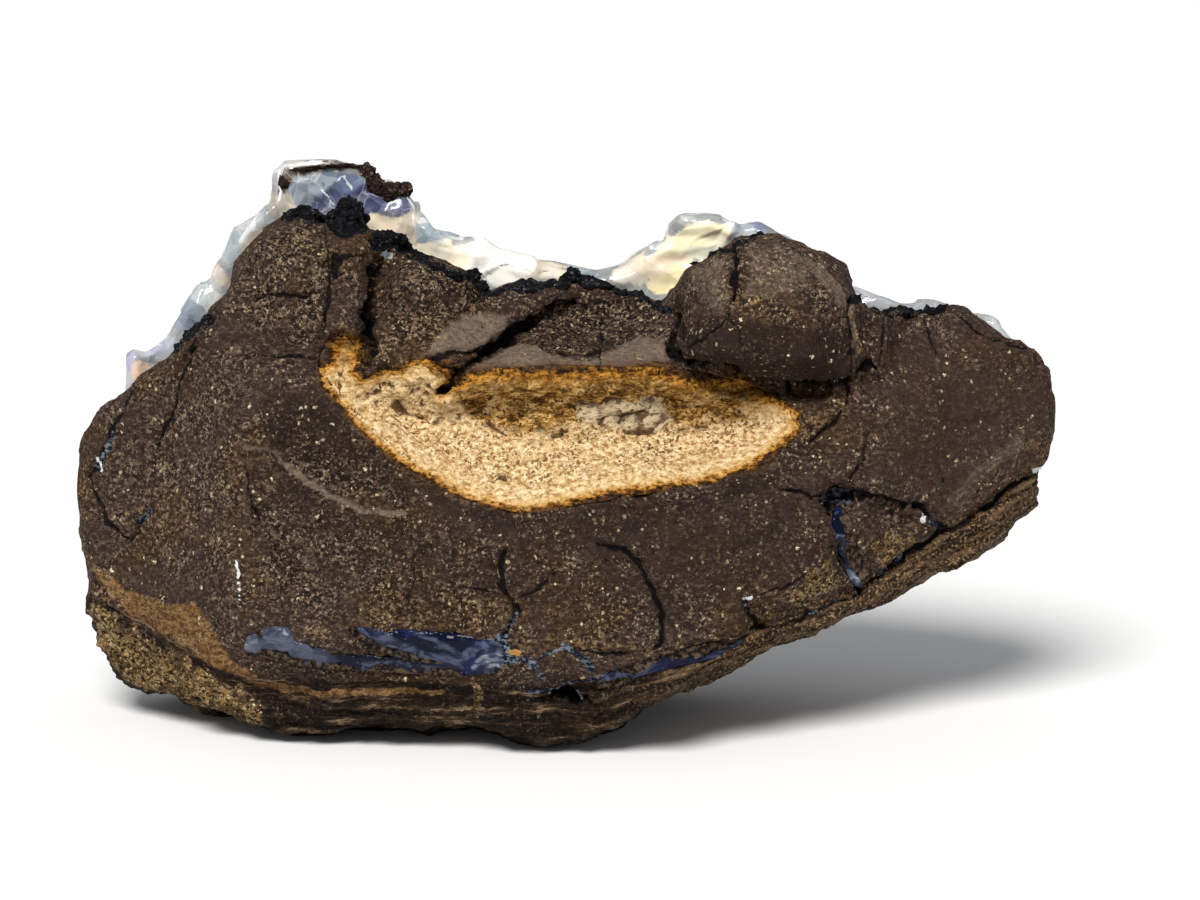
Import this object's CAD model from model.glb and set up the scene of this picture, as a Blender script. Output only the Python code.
"""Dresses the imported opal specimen: fine relief and natural surfaces on every piece, a pale floor and soft light.

Marks on the broad face are placed in the view of that face, (u, v), 8 to the millimetre: u runs right from
the left side of the view and v runs down from its top.
"""

import itertools
import math

import bmesh
import bpy
import numpy as np
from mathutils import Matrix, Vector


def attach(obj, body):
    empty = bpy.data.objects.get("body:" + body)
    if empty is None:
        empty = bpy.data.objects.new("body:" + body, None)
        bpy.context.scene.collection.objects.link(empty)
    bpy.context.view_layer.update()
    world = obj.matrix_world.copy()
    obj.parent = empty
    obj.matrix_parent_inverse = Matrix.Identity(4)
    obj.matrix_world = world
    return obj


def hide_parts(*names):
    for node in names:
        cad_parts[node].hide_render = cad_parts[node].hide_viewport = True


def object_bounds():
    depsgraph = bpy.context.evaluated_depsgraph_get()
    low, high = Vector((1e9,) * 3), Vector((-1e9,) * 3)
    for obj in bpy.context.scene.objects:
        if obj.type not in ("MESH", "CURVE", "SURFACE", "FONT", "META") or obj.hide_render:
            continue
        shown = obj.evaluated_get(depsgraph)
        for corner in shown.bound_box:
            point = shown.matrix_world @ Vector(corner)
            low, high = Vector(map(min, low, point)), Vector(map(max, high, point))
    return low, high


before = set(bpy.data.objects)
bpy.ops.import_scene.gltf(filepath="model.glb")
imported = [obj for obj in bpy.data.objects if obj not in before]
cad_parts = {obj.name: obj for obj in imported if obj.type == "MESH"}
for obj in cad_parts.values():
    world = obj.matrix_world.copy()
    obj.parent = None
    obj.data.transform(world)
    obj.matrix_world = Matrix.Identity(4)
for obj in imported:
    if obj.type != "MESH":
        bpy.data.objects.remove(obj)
CAD_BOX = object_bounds()

MM = 0.001

# The broad face and the view of it.
LEAN = math.radians(12.0)
FACE_ORIGIN = (0.00009, -0.00368, -0.0019)  # where the face's across, up and proud are all zero
VIEW_CENTRE = (4.25, 36.0)  # across and up, in millimetres
VIEW_DISTANCE = 600.0
VIEW_WIDTH = 150.0
VIEW_MIDDLE = (600.0, 450.0)
PER_MM = 8.0

# Point spacing of the dressed meshes, in millimetres.
FRONT_SPACING = 0.46
MARK_SPACING = 0.24
BACK_SPACING = 1.00
CRUST_SPACING = 0.37
CORE_SPACING = 0.22
VEIN_SPACING = 0.26
GAP_FILL = 0.5  # how far an inlaid piece is swollen to close the clearance round it

# --- marks on the broad face ---------------------------------------------------------------------

CORE_EDGE = [
    (345, 335), (357, 342), (358, 358), (354, 372), (362, 379), (378, 374), (395, 371), (412, 364),
    (428, 360), (447, 368), (452, 378), (440, 392), (452, 384), (470, 379), (500, 373), (540, 373),
    (580, 372), (620, 371), (654, 370), (672, 377), (688, 382), (712, 382), (738, 380), (750, 388),
    (766, 399), (786, 407), (797, 413), (797, 428), (791, 437), (775, 449), (753, 464), (720, 478),
    (698, 483), (654, 488), (612, 493), (588, 499), (560, 505), (530, 509), (508, 509), (480, 503),
    (455, 491), (430, 479), (412, 468), (392, 455), (374, 442), (360, 426), (345, 410), (330, 392),
    (319, 378), (322, 368), (334, 364), (332, 348),
]  # fmt: skip

# Cracks: (half width, depth in millimetres, points).
CRACKS = {
    "seam": (2.6, 0.9, [(1042, 471), (1018, 486), (998, 500), (981, 512), (953, 529), (929, 541), (909, 554), (892, 566), (872, 582)]),
    "seam, left": (1.7, 0.6, [(860, 594), (834, 604), (817, 609), (798, 620), (780, 626), (763, 627), (752, 630)]),
    "hollow, left tip": (2.4, 0.5, [(784, 491), (800, 492), (810, 496), (822, 498)]),
    "hollow": (7.5, 1.1, [(824, 500), (836, 498), (850, 498)]),
    "hollow, right": (3.4, 0.8, [(850, 498), (868, 496), (881, 500), (892, 507)]),
    "branch": (7.0, 1.2, [(886, 504), (898, 507), (912, 507), (924, 509), (931, 517)]),
    "branch foot": (3.0, 0.6, [(926, 518), (938, 524), (952, 530)]),
    "over the hollow": (1.6, 0.4, [(866, 424), (865, 445), (861, 466), (852, 480), (850, 488)]),
    "vein mouth": (5.5, 0.8, [(826, 504), (836, 516), (840, 530)]),
    "vein side": (6.5, 0.5, [(837, 522), (842, 540), (841, 554), (848, 568)]),
    "vein foot": (4.6, 0.8, [(848, 568), (855, 580), (861, 594)]),
    "vein spur": (3.6, 0.6, [(848, 566), (858, 568), (868, 573)]),
    "bottom": (3.9, 0.8, [(503, 554), (499, 570), (501, 585), (509, 597), (516, 610), (513, 623), (505, 636)]),
    "bottom, left twig": (1.6, 0.3, [(457, 588), (478, 588), (496, 591)]),
    "bottom, right twig": (1.6, 0.3, [(512, 597), (533, 590), (547, 580), (556, 566)]),
    "long": (3.1, 0.7, [(598, 541), (623, 548), (640, 561), (648, 577), (654, 596), (661, 613), (663, 629), (662, 642), (654, 650)]),
    "long, foot": (1.5, 0.4, [(654, 650), (628, 655), (600, 656), (575, 650)]),
    "short": (1.5, 0.35, [(412, 556), (415, 578), (407, 599), (398, 620)]),
    "flank loop": (1.9, 0.5, [(91, 480), (97, 496), (107, 521), (119, 537), (129, 541), (138, 534), (141, 525), (150, 511)]),
    "flank line": (1.5, 0.3, [(152, 490), (156, 462), (160, 437), (170, 421), (176, 400), (182, 372), (198, 339), (213, 319)]),
    "flank streak": (3.0, 0.4, [(136, 388), (121, 415), (111, 435), (106, 448), (98, 464), (90, 478)]),
    "flank notch": (2.2, 0.4, [(243, 462), (248, 480), (252, 506), (258, 521)]),
    "boss arc": (1.9, 0.45, [(254, 301), (264, 293), (279, 296), (305, 296), (316, 291)]),
    "boss line": (1.8, 0.45, [(252, 356), (279, 356), (297, 357), (316, 359)]),
    "boss upright": (1.7, 0.4, [(327, 228), (328, 247), (329, 275), (328, 298), (321, 331), (317, 345)]),
    "boss patch": (6.0, 0.8, [(336, 253), (334, 276)]),
    "boss top": (2.0, 0.4, [(336, 258), (350, 255), (366, 256)]),
    "crevice mouth": (9.0, 1.6, [(386, 254), (380, 264), (378, 274)]),
    "crevice": (5.8, 1.8, [(379, 268), (376, 284), (368, 300), (364, 315), (369, 335), (370, 352), (361, 370)]),
    "groove": (4.6, 1.9, [(572, 303), (553, 308), (530, 323), (509, 337), (487, 351), (468, 364), (452, 380), (441, 390)]),
    "groove, upper prong": (3.4, 0.9, [(428, 357), (455, 354), (478, 349), (495, 344)]),
    "groove, lower prong": (2.6, 0.7, [(426, 359), (445, 366), (462, 371)]),
    "ledge edge": (1.8, 0.5, [(534, 340), (546, 350), (567, 355), (594, 350), (616, 343), (637, 336)]),
    "ledge crack": (1.3, 0.25, [(600, 314), (602, 340), (601, 362)]),
    "thumb crack": (3.2, 1.0, [(733, 246), (734, 262), (735, 280), (732, 296)]),
    "thumb arc": (1.8, 0.4, [(728, 314), (718, 324), (707, 334), (694, 344), (682, 351)]),
    "thumb arc, right": (1.4, 0.3, [(726, 318), (737, 328), (743, 346)]),
    "thumb left": (4.0, 1.4, [(677, 318), (673, 336), (671, 352), (684, 360)]),
    "thumb foot": (4.6, 1.8, [(684, 360), (701, 364), (733, 374), (766, 381), (797, 386), (822, 384), (848, 378)]),
    "thumb right": (1.6, 0.5, [(851, 300), (849, 330), (847, 356), (848, 384), (846, 404)]),
    "column right": (1.4, 0.4, [(884, 318), (883, 340), (881, 368)]),
    "column foot": (7.0, 1.2, [(856, 372), (866, 366), (873, 370)]),
    "shoulder strip": (3.6, 0.9, [(878, 313), (893, 317), (921, 312), (946, 309)]),
    "shoulder line": (1.4, 0.3, [(949, 308), (971, 323), (994, 340), (1027, 349)]),
    "shoulder nick": (1.6, 0.3, [(926, 321), (930, 338), (936, 352)]),
    "core tip": (2.0, 0.45, [(842, 412), (832, 424), (822, 434), (812, 442)]),
    "base hole": (6.0, 2.0, [(554, 692), (566, 693), (578, 697), (588, 700)]),
    "grey nick": (3.2, 0.6, [(744, 600), (748, 613), (758, 625)]),
    "right hairline": (1.1, 0.2, [(757, 597), (783, 588), (808, 576)]),
}

CORE_CRACKS = {
    "lumps, top": (1.4, 0.5, [(576, 407), (586, 405), (595, 407)]),
    "lumps, over": (1.4, 0.5, [(602, 402), (610, 400), (619, 399)]),
    "lumps, left gap": (1.6, 0.6, [(597, 423), (603, 420), (608, 411)]),
    "lumps, between": (2.4, 0.9, [(621, 413), (620, 424), (614, 425)]),
    "lumps, under": (2.6, 0.8, [(620, 429), (630, 432), (641, 431)]),
    "lumps, under, right": (2.0, 0.7, [(638, 431), (646, 429), (655, 433)]),
    "lumps, foot": (1.3, 0.4, [(664, 402), (674, 410), (682, 422)]),
    "hole": (2.6, 1.3, [(549, 434), (556, 431), (565, 429)]),
    "hole, line": (1.3, 0.5, [(565, 429), (571, 424), (578, 421)]),
    "wall foot": (1.3, 0.5, [(470, 412), (486, 424), (500, 432), (514, 436), (532, 436)]),
    "wall foot, right": (1.2, 0.4, [(660, 434), (690, 428), (712, 428), (736, 420)]),
    "wall, low": (1.3, 0.4, [(700, 404), (714, 408), (728, 416)]),
    "wall, middle": (1.3, 0.4, [(500, 404), (524, 412), (552, 414), (580, 400)]),
    "wall, left": (1.3, 0.4, [(476, 392), (496, 396), (516, 392)]),
    "block, left": (1.5, 0.42, [(346, 397), (354, 400), (365, 400)]),
    "block, arch": (1.6, 0.42, [(376, 391), (381, 385), (388, 384), (393, 388)]),
    "block, stem": (1.2, 0.4, [(396, 393), (397, 404), (399, 417)]),
    "block, inner": (1.4, 0.4, [(377, 405), (379, 411), (382, 418)]),
    "block, low": (1.5, 0.4, [(385, 417), (391, 419), (398, 419)]),
    "block, right": (1.3, 0.4, [(443, 409), (436, 420), (431, 430)]),
    "block, clod": (1.6, 0.42, [(445, 408), (454, 404), (466, 402)]),
    "block, clod, low": (1.5, 0.4, [(446, 412), (451, 419), (458, 421), (462, 413)]),
    "block, notch": (1.5, 0.4, [(437, 436), (442, 431), (448, 432)]),
    "block, top": (1.4, 0.4, [(405, 382), (410, 390), (420, 388)]),
    "lobe": (1.4, 0.5, [(341, 372), (342, 384), (342, 398)]),
    "floor": (1.2, 0.4, [(492, 479), (500, 477), (510, 478)]),
    "floor, right": (1.1, 0.3, [(640, 452), (652, 448), (664, 452)]),
}

# Light grazed edges and smooth pale breaks: (half width, strength, points).
PALE_EDGES = {
    "shell streak": (4.0, 0.9, [(288, 466), (305, 480), (325, 491), (345, 501), (366, 510), (390, 514), (404, 512)]),
    "shell streak, start": (3.0, 0.6, [(243, 445), (264, 449), (278, 457), (292, 470)]),
    "flank ridge": (7.0, 0.3, [(262, 372), (255, 400), (244, 424), (240, 440)]),
    "flank ridge, low": (3.0, 0.4, [(243, 462), (246, 500), (243, 540)]),
    "lower streaks": (7.0, 0.4, [(285, 520), (302, 548), (322, 580), (352, 604)]),
    "lower streaks, right": (5.0, 0.3, [(318, 532), (340, 566), (372, 592)]),
    "right face edge": (10.0, 0.5, [(952, 508), (985, 470), (1020, 440)]),
    "seam lip": (3.0, 0.5, [(900, 553), (940, 528), (975, 503), (1010, 480)]),
    "column stripe": (2.6, 0.7, [(853, 306), (853, 330), (852, 356)]),
}
PALE_FACETS = {
    "facet": (0.95, 5.0, [(415, 361), (442, 330), (462, 315), (487, 311), (509, 318), (504, 332), (487, 346), (455, 355), (434, 357)]),
    "ledge": (1.0, 4.0, [(466, 372), (498, 357), (516, 344), (536, 345), (552, 356), (580, 360), (606, 353), (632, 340), (664, 336), (669, 362), (640, 368), (560, 370), (500, 372)]),
    "thumb, left": (0.6, 10.0, [(682, 270), (705, 255), (730, 252), (730, 300), (716, 318), (700, 300)]),
    "thumb, top": (0.55, 14.0, [(742, 250), (775, 236), (800, 244), (825, 262), (810, 290), (780, 306), (742, 300)]),
    "thumb, chip": (0.75, 2.5, [(806, 256), (826, 264), (844, 284), (848, 308), (838, 306), (830, 294), (820, 284), (812, 270)]),
    "flank": (0.25, 22.0, [(130, 400), (200, 330), (245, 330), (240, 460), (240, 600), (140, 580), (100, 540)]),
    "right face": (0.35, 22.0, [(950, 450), (1000, 410), (1045, 420), (1044, 466), (990, 495), (945, 520)]),
    "under the left lobe": (0.3, 12.0, [(262, 345), (300, 320), (320, 345), (300, 380), (268, 390)]),
}
GRAINY = {
    "crescent": (0.45, 6.0, [(520, 340), (545, 312), (590, 296), (640, 300), (672, 322), (660, 336), (620, 342), (570, 354), (540, 348)]),
    "knob": (0.7, 8.0, [(400, 262), (460, 275), (500, 300), (480, 312), (440, 326), (410, 350), (385, 350), (385, 300)]),
    "boss": (0.6, 12.0, [(270, 240), (300, 222), (326, 225), (322, 340), (255, 350), (250, 300)]),
    "thumb, top": (0.3, 12.0, [(745, 240), (800, 240), (845, 280), (848, 330), (800, 318), (745, 310), (690, 320), (680, 270)]),
    "lower left": (0.35, 25.0, [(262, 520), (330, 510), (400, 560), (490, 600), (480, 625), (350, 612), (262, 620)]),
    "left shell": (0.5, 14.0, [(265, 460), (330, 450), (420, 500), (330, 500)]),
    "flank": (0.3, 25.0, [(120, 430), (190, 350), (236, 380), (236, 600), (150, 580), (100, 530)]),
}
OCHRE = {
    "over the ledge vein": (0.5, 14.0, [(505, 628), (600, 640), (700, 640), (760, 612), (830, 590), (850, 602), (760, 640), (650, 662), (560, 668), (510, 662)]),
    "beside the crack vein": (0.8, 10.0, [(862, 548), (890, 530), (918, 532), (925, 545), (880, 572)]),
    "left of the crack vein": (0.7, 10.0, [(770, 600), (830, 560), (846, 585), (800, 612)]),
    "over the wedge": (0.35, 14.0, [(290, 632), (340, 600), (420, 590), (490, 600), (495, 630), (352, 624), (350, 650), (310, 645)]),
    "boss": (0.34, 18.0, [(262, 230), (320, 225), (360, 270), (350, 340), (262, 345)]),
    "core edge": (0.35, 20.0, [(300, 380), (330, 400), (400, 465), (480, 505), (470, 520), (380, 470), (300, 410)]),
    "right of the core": (0.35, 10.0, [(800, 400), (845, 395), (842, 415), (810, 445)]),
    "moss": (1.1, 12.0, [(92, 600), (130, 628), (180, 650), (230, 680), (262, 700), (262, 730), (190, 710), (120, 690), (95, 640)]),
    "thumb spot": (1.0, 2.5, [(752, 298), (760, 296), (764, 303), (758, 308), (751, 305)]),
    "column stripe": (0.8, 3.0, [(850, 308), (856, 308), (857, 356), (850, 356)]),
    "foot spot": (0.9, 7.0, [(466, 682), (484, 684), (486, 714), (468, 712)]),
    "far right": (0.5, 12.0, [(985, 470), (1050, 420), (1060, 460), (1040, 480)]),
}
TAN = {
    "band": (1.0, 5.0, [(92, 562), (129, 590), (167, 603), (196, 603), (212, 628), (235, 660), (263, 686), (262, 692), (222, 666), (196, 650), (167, 636), (129, 615), (98, 582)]),
}
TAN_LINES = {
    "thin line": (3.0, 1.1, [(262, 687), (290, 690), (330, 692), (380, 693), (420, 693), (440, 694)]),
    "seam layer": (2.4, 0.8, [(968, 538), (982, 531), (996, 524)]),
    "seam layer, low": (1.8, 0.5, [(900, 578), (940, 556), (1000, 520), (1036, 492)]),
}
CALM = {
    "right face": (0.9, 26.0, [(890, 330), (1000, 350), (1050, 400), (1040, 460), (960, 510), (890, 480), (870, 400)]),
    "core edge": (0.7, 14.0, [(400, 470), (470, 510), (560, 516), (700, 492), (780, 466), (830, 450), (830, 490), (640, 560), (520, 545), (430, 520)]),
    "shell": (0.6, 12.0, [(286, 385), (262, 405), (262, 436), (290, 458), (400, 510), (420, 490), (372, 446), (330, 405)]),
    "thumb, low": (0.9, 8.0, [(682, 330), (700, 318), (760, 322), (845, 330), (850, 384), (740, 378), (684, 360)]),
    "flank": (0.2, 22.0, [(110, 420), (200, 330), (236, 400), (236, 600), (150, 590), (96, 540)]),
    "right of the middle": (0.6, 22.0, [(640, 500), (780, 490), (850, 520), (840, 570), (720, 600), (650, 580)]),
}
DUSK = {
    "thumb, low": (1.0, 6.0, [(682, 330), (700, 318), (760, 322), (845, 330), (850, 384), (740, 378), (684, 360)]),
    "shell": (0.9, 10.0, [(286, 385), (262, 405), (262, 436), (290, 458), (330, 482), (400, 505), (420, 490), (372, 446), (330, 405)]),
    "core edge": (0.8, 9.0, [(420, 478), (470, 508), (560, 512), (700, 488), (770, 468), (810, 440), (830, 452), (760, 500), (620, 540), (500, 535), (430, 510)]),
    "column": (0.7, 6.0, [(856, 310), (880, 318), (884, 366), (856, 366)]),
    "crescent": (0.9, 7.0, [(530, 330), (560, 300), (620, 296), (668, 316), (640, 338), (570, 352), (540, 348)]),
    "right": (0.5, 20.0, [(640, 500), (780, 490), (850, 520), (840, 570), (720, 600), (650, 580)]),
    "ridge": (0.6, 8.0, [(378, 250), (430, 268), (500, 296), (560, 292), (600, 290), (600, 304), (500, 310), (430, 285), (385, 270)]),
    "middle": (0.6, 28.0, [(270, 450), (420, 510), (640, 520), (780, 500), (850, 530), (830, 580), (640, 630), (500, 615), (270, 610)]),
    "lens": (0.6, 10.0, [(330, 655), (430, 668), (500, 680), (500, 700), (300, 688), (262, 670)]),
}
GREY_OPAL = {
    "flank streak": (2.4, 0.85, [(112, 432), (108, 444), (103, 455), (97, 465)]),
    "flank purple": (2.4, 0.8, [(141, 524), (146, 516), (151, 509)]),
    "bottom crack": (2.2, 0.9, [(515, 612), (513, 622), (509, 630), (504, 638)]),
    "chunk": (5.0, 1.0, [(500, 640), (505, 646), (508, 660)]),
    "bits": (3.4, 1.0, [(508, 658), (522, 660), (536, 665)]),
    "bits, low": (1.7, 0.9, [(530, 668), (545, 675)]),
    "bits, high": (1.7, 0.9, [(538, 660), (554, 653), (568, 648)]),
    "bits, right": (4.4, 0.9, [(566, 645), (574, 653), (584, 660), (591, 670)]),
    "thin line": (2.0, 0.9, [(526, 690), (548, 688), (566, 685), (585, 682), (604, 678), (622, 674)]),
    "ledge": (1.8, 0.9, [(690, 662), (712, 655), (735, 643), (752, 630)]),
    "seam": (1.3, 0.8, [(806, 615), (822, 607), (842, 601), (858, 595)]),
    "seam, right": (1.5, 0.7, [(868, 584), (885, 572), (905, 558)]),
    "patch": (4.0, 0.7, [(931, 521), (941, 527)]),
    "hollow": (5.0, 0.62, [(828, 501), (846, 500)]),
    "hole": (2.2, 0.8, [(584, 699), (592, 702)]),
    "nick": (2.6, 0.7, [(745, 604), (749, 616)]),
}
# The opal of the low vein as it shows, and the veils and white curls in it: (half width, strength, points).
LENS = [
    (244, 644), (252, 639), (264, 635), (268, 625), (284, 623), (288, 632), (300, 643), (312, 649),
    (335, 656), (335, 664), (308, 662), (287, 654), (277, 650), (254, 650),
]  # fmt: skip
THREAD = [
    (330, 655), (369, 657), (407, 660), (431, 664), (455, 668), (478, 670), (478, 673), (449, 671),
    (423, 668), (393, 666), (369, 666), (330, 664),
]  # fmt: skip
WEDGE = [
    (347, 619), (369, 622), (393, 624), (423, 626), (452, 628), (487, 632), (500, 634), (500, 648),
    (504, 663), (490, 672), (463, 671), (449, 666), (417, 656), (385, 645), (359, 633),
]  # fmt: skip
VEILS = {
    "left tip": (5.0, 0.8, [(354, 625), (370, 632), (388, 640)]),
    "low edge": (4.5, 0.9, [(372, 637), (400, 647), (430, 657), (460, 666)]),
    "streak": (2.6, 0.8, [(412, 631), (433, 640), (452, 651), (462, 658)]),
    "right streak": (4.0, 1.0, [(494, 637), (478, 647), (466, 656), (460, 664)]),
    "thread": (1.8, 0.8, [(364, 664), (382, 663), (392, 661), (400, 662), (410, 664)]),
    "thread, end": (1.6, 0.6, [(424, 667), (440, 669), (456, 670)]),
    "right end": (6.5, 0.8, [(493, 641), (491, 652), (484, 664)]),
}
CURLS = {
    "lowest": (2.4, 1.0, [(474, 668), (479, 660), (486, 656), (490, 662), (498, 660)]),
    "end": (3.0, 1.0, [(497, 638), (501, 646), (498, 653)]),
    "foot": (1.8, 0.9, [(484, 670), (494, 668), (502, 664)]),
    "top": (1.6, 0.9, [(364, 624), (376, 626)]),
    "left": (1.8, 0.6, [(246, 645), (256, 642)]),
}
LEDGE_THREAD = [(560, 684), (586, 683), (617, 677), (640, 674), (662, 667), (690, 664), (713, 656), (729, 650), (757, 630)]
CRACK_THREAD = [(834, 506), (837, 521), (841, 532), (845, 544), (843, 555), (845, 566), (853, 575), (857, 590)]

GLINTS = {
    "white sliver": (0.55, [(237, 562), (239, 576), (240, 600)]),
    "crust chip": (3.2, [(387, 253), (390, 257)]),
    "branch chip": (2.2, [(922, 521), (926, 517)]),
    "end chip": (3.0, [(1036, 471), (1041, 469)]),
    "nick glint": (1.3, [(744, 599), (752, 598)]),
    "hole glint": (0.8, [(549, 692), (554, 694)]),
    "hole glint, right": (0.6, [(574, 692), (575, 697)]),
    "flank glint": (1.0, [(97, 458), (101, 470)]),
}
ORANGE_FLECK = (2.6, [(510, 652), (518, 653)])

# The black crust along the skyline, down to this line.
SKYLINE = [
    (172, 352), (186, 334), (208, 318), (240, 262), (258, 240), (287, 214), (305, 206), (323, 214),
    (335, 203), (352, 201), (366, 212), (376, 230), (400, 230), (410, 250), (428, 263), (455, 272),
    (474, 270), (484, 291), (509, 291), (530, 286), (559, 284), (570, 272), (581, 276), (594, 279),
    (613, 283), (629, 292), (648, 299), (672, 312), (676, 270), (690, 258), (728, 250), (737, 240),
    (765, 232), (880, 306), (945, 304),
]  # fmt: skip
BLACK_CRUST = {
    "left edge": (5.0, [(174, 350), (190, 335), (206, 320)]),
    "boss top": (7.0, [(290, 216), (305, 211), (320, 217)]),
    "knob": (13.0, [(344, 212), (354, 216)]),
    "under the knob": (6.0, [(330, 222), (345, 230), (362, 228)]),
    "shoulder": (10.0, [(380, 240), (396, 240), (404, 246)]),
    "ridge": (4.4, [(408, 251), (428, 265), (455, 274), (474, 277), (484, 293)]),
    "saddle": (3.2, [(488, 293), (509, 293), (530, 288), (556, 287)]),
    "saddle knob": (7.0, [(566, 280), (574, 278)]),
    "saddle right": (4.6, [(584, 284), (613, 288), (640, 298), (668, 311)]),
    "thumb top": (1.8, [(680, 268), (700, 257), (728, 251), (740, 242), (764, 234)]),
    "column top": (3.5, [(852, 300), (866, 302), (880, 308)]),
    "shoulder strip": (4.0, [(884, 309), (915, 307), (944, 305)]),
}

# Knobs and chips of the black crust on the ridge: (place, half width, half height in millimetres).
NODULES = [
    ((292, 215), 1.2, 0.8), ((303, 210), 1.2, 0.8), ((313, 213), 1.0, 0.7), ((320, 219), 0.7, 0.5),
    ((335, 214), 0.9, 0.8), ((343, 207), 0.9, 1.1), ((350, 204), 0.9, 1.2), ((357, 208), 0.9, 0.9),
    ((350, 216), 1.4, 0.9), ((364, 218), 0.8, 0.7), ((380, 237), 1.0, 0.7), ((389, 235), 1.0, 0.8),
    ((399, 237), 1.1, 0.8), ((406, 244), 0.8, 0.6), ((420, 259), 1.0, 0.5), ((436, 267), 1.0, 0.5),
    ((452, 273), 1.0, 0.4), ((474, 274), 1.0, 1.0), ((480, 286), 0.9, 0.7), ((532, 291), 0.8, 0.3),
    ((565, 284), 0.8, 0.7), ((572, 276), 1.0, 1.2), ((590, 286), 0.9, 0.4), ((606, 287), 0.9, 0.4),
    ((622, 293), 0.9, 0.35), ((644, 301), 0.9, 0.4), ((198, 326), 0.6, 0.5), ((188, 334), 0.7, 0.5),
    ((178, 345), 0.6, 0.4), ((208, 316), 0.5, 0.4), ((694, 260), 0.5, 0.25), ((716, 252), 0.5, 0.2),
]  # fmt: skip

# Small grey lumps at the foot of the thumb-shaped boss.
FOOT_LUMPS = [((677, 368), 0.9, 0.7), ((688, 371), 0.9, 0.6), ((702, 374), 1.1, 0.55), ((716, 377), 0.8, 0.5)]

# Brown host rock left on top of the crystal cap.
CAP_ROCK = [
    ((367, 170), 1.0, 1.0), ((371, 178), 1.1, 1.0), ((378, 186), 1.3, 1.0), ((387, 189), 1.3, 1.1),
    ((396, 189), 1.3, 1.0), ((404, 188), 1.0, 0.8), ((388, 196), 0.9, 0.6), ((284, 180), 0.7, 0.9),
    ((302, 170), 1.4, 0.4), ((318, 167), 1.4, 0.3), ((334, 166), 1.4, 0.25), ((350, 166), 1.3, 0.3),
]  # fmt: skip

# The foot of the rusty wall within the core, and the clods and holes in it: (place, half width, half height).
WALL_FOOT = [
    (300, 330), (334, 352), (362, 362), (374, 350), (400, 352), (424, 364), (442, 382), (450, 402),
    (470, 420), (500, 430), (530, 438), (560, 434), (600, 424), (650, 430), (700, 426), (735, 420),
    (762, 408), (790, 400), (820, 394),
]  # fmt: skip
CHALK = {
    "lumps": (1.0, 1.2, [(575, 406), (588, 404), (597, 407), (608, 401), (619, 397), (632, 401), (645, 397), (665, 399), (667, 412), (671, 420), (663, 427), (652, 432), (636, 430), (620, 427), (606, 425), (588, 424), (577, 422)]),
    "patch": (0.34, 4.0, [(560, 398), (570, 388), (590, 386), (594, 394), (580, 402)]),
    "right streaks": (0.34, 6.0, [(682, 408), (690, 392), (712, 388), (730, 396), (724, 408), (700, 412)]),
}
# Where the core is broken into clods with gaps between them.
BROKEN = {
    "block": (1.0, 2.0, [(364, 390), (384, 387), (410, 384), (432, 388), (438, 394), (452, 402), (466, 400), (469, 412), (454, 424), (438, 438), (424, 432), (404, 424), (384, 422), (370, 410)]),
    "lumps": (1.0, 1.5, [(572, 406), (588, 403), (608, 399), (619, 396), (645, 396), (667, 398), (672, 420), (663, 430), (640, 434), (606, 428), (588, 426), (575, 425)]),
    "right": (0.8, 2.0, [(670, 424), (690, 420), (696, 434), (676, 438)]),
    "lobe": (0.7, 2.0, [(336, 368), (350, 366), (352, 398), (342, 402), (328, 384)]),
}
CLODS = [
    ((579, 414), 10, 7), ((594, 416), 9, 8), ((608, 424), 10, 6), ((630, 410), 13, 10), ((646, 420), 10, 8),
    ((655, 411), 9, 7), ((664, 421), 8, 6), ((590, 430), 10, 5), ((570, 424), 8, 5), ((446, 400), 10, 5),
    ((420, 412), 11, 5), ((398, 392), 9, 5), ((372, 404), 9, 5), ((429, 437), 10, 4), ((346, 358), 7, 6),
    ((690, 428), 10, 5), ((716, 436), 9, 4), ((500, 444), 9, 4), ((384, 426), 9, 4), ((410, 380), 9, 5),
    ((674, 436), 7, 5), ((534, 444), 8, 4), ((460, 424), 8, 5),
]  # fmt: skip
CORE_HOLES = [
    ((556, 431), 6, 2.6), ((619, 421), 3.0, 4.5), ((642, 431), 7, 2.6), ((591, 406), 5, 2.2), ((676, 414), 3, 3),
    ((714, 412), 5, 2.4),
]  # fmt: skip

ROCK_PARTS = (-18.0, 20.0)  # where the dressed face is parted, in millimetres across

# Top edge of the bedded base, (across, up) in millimetres.
BASE_TOP = [(-61.0, 19.0), (-39.0, 8.4), (-8.0, 7.6), (4.0, 7.6), (16.6, 11.2), (35.8, 19.4), (61.0, 34.4)]

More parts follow.
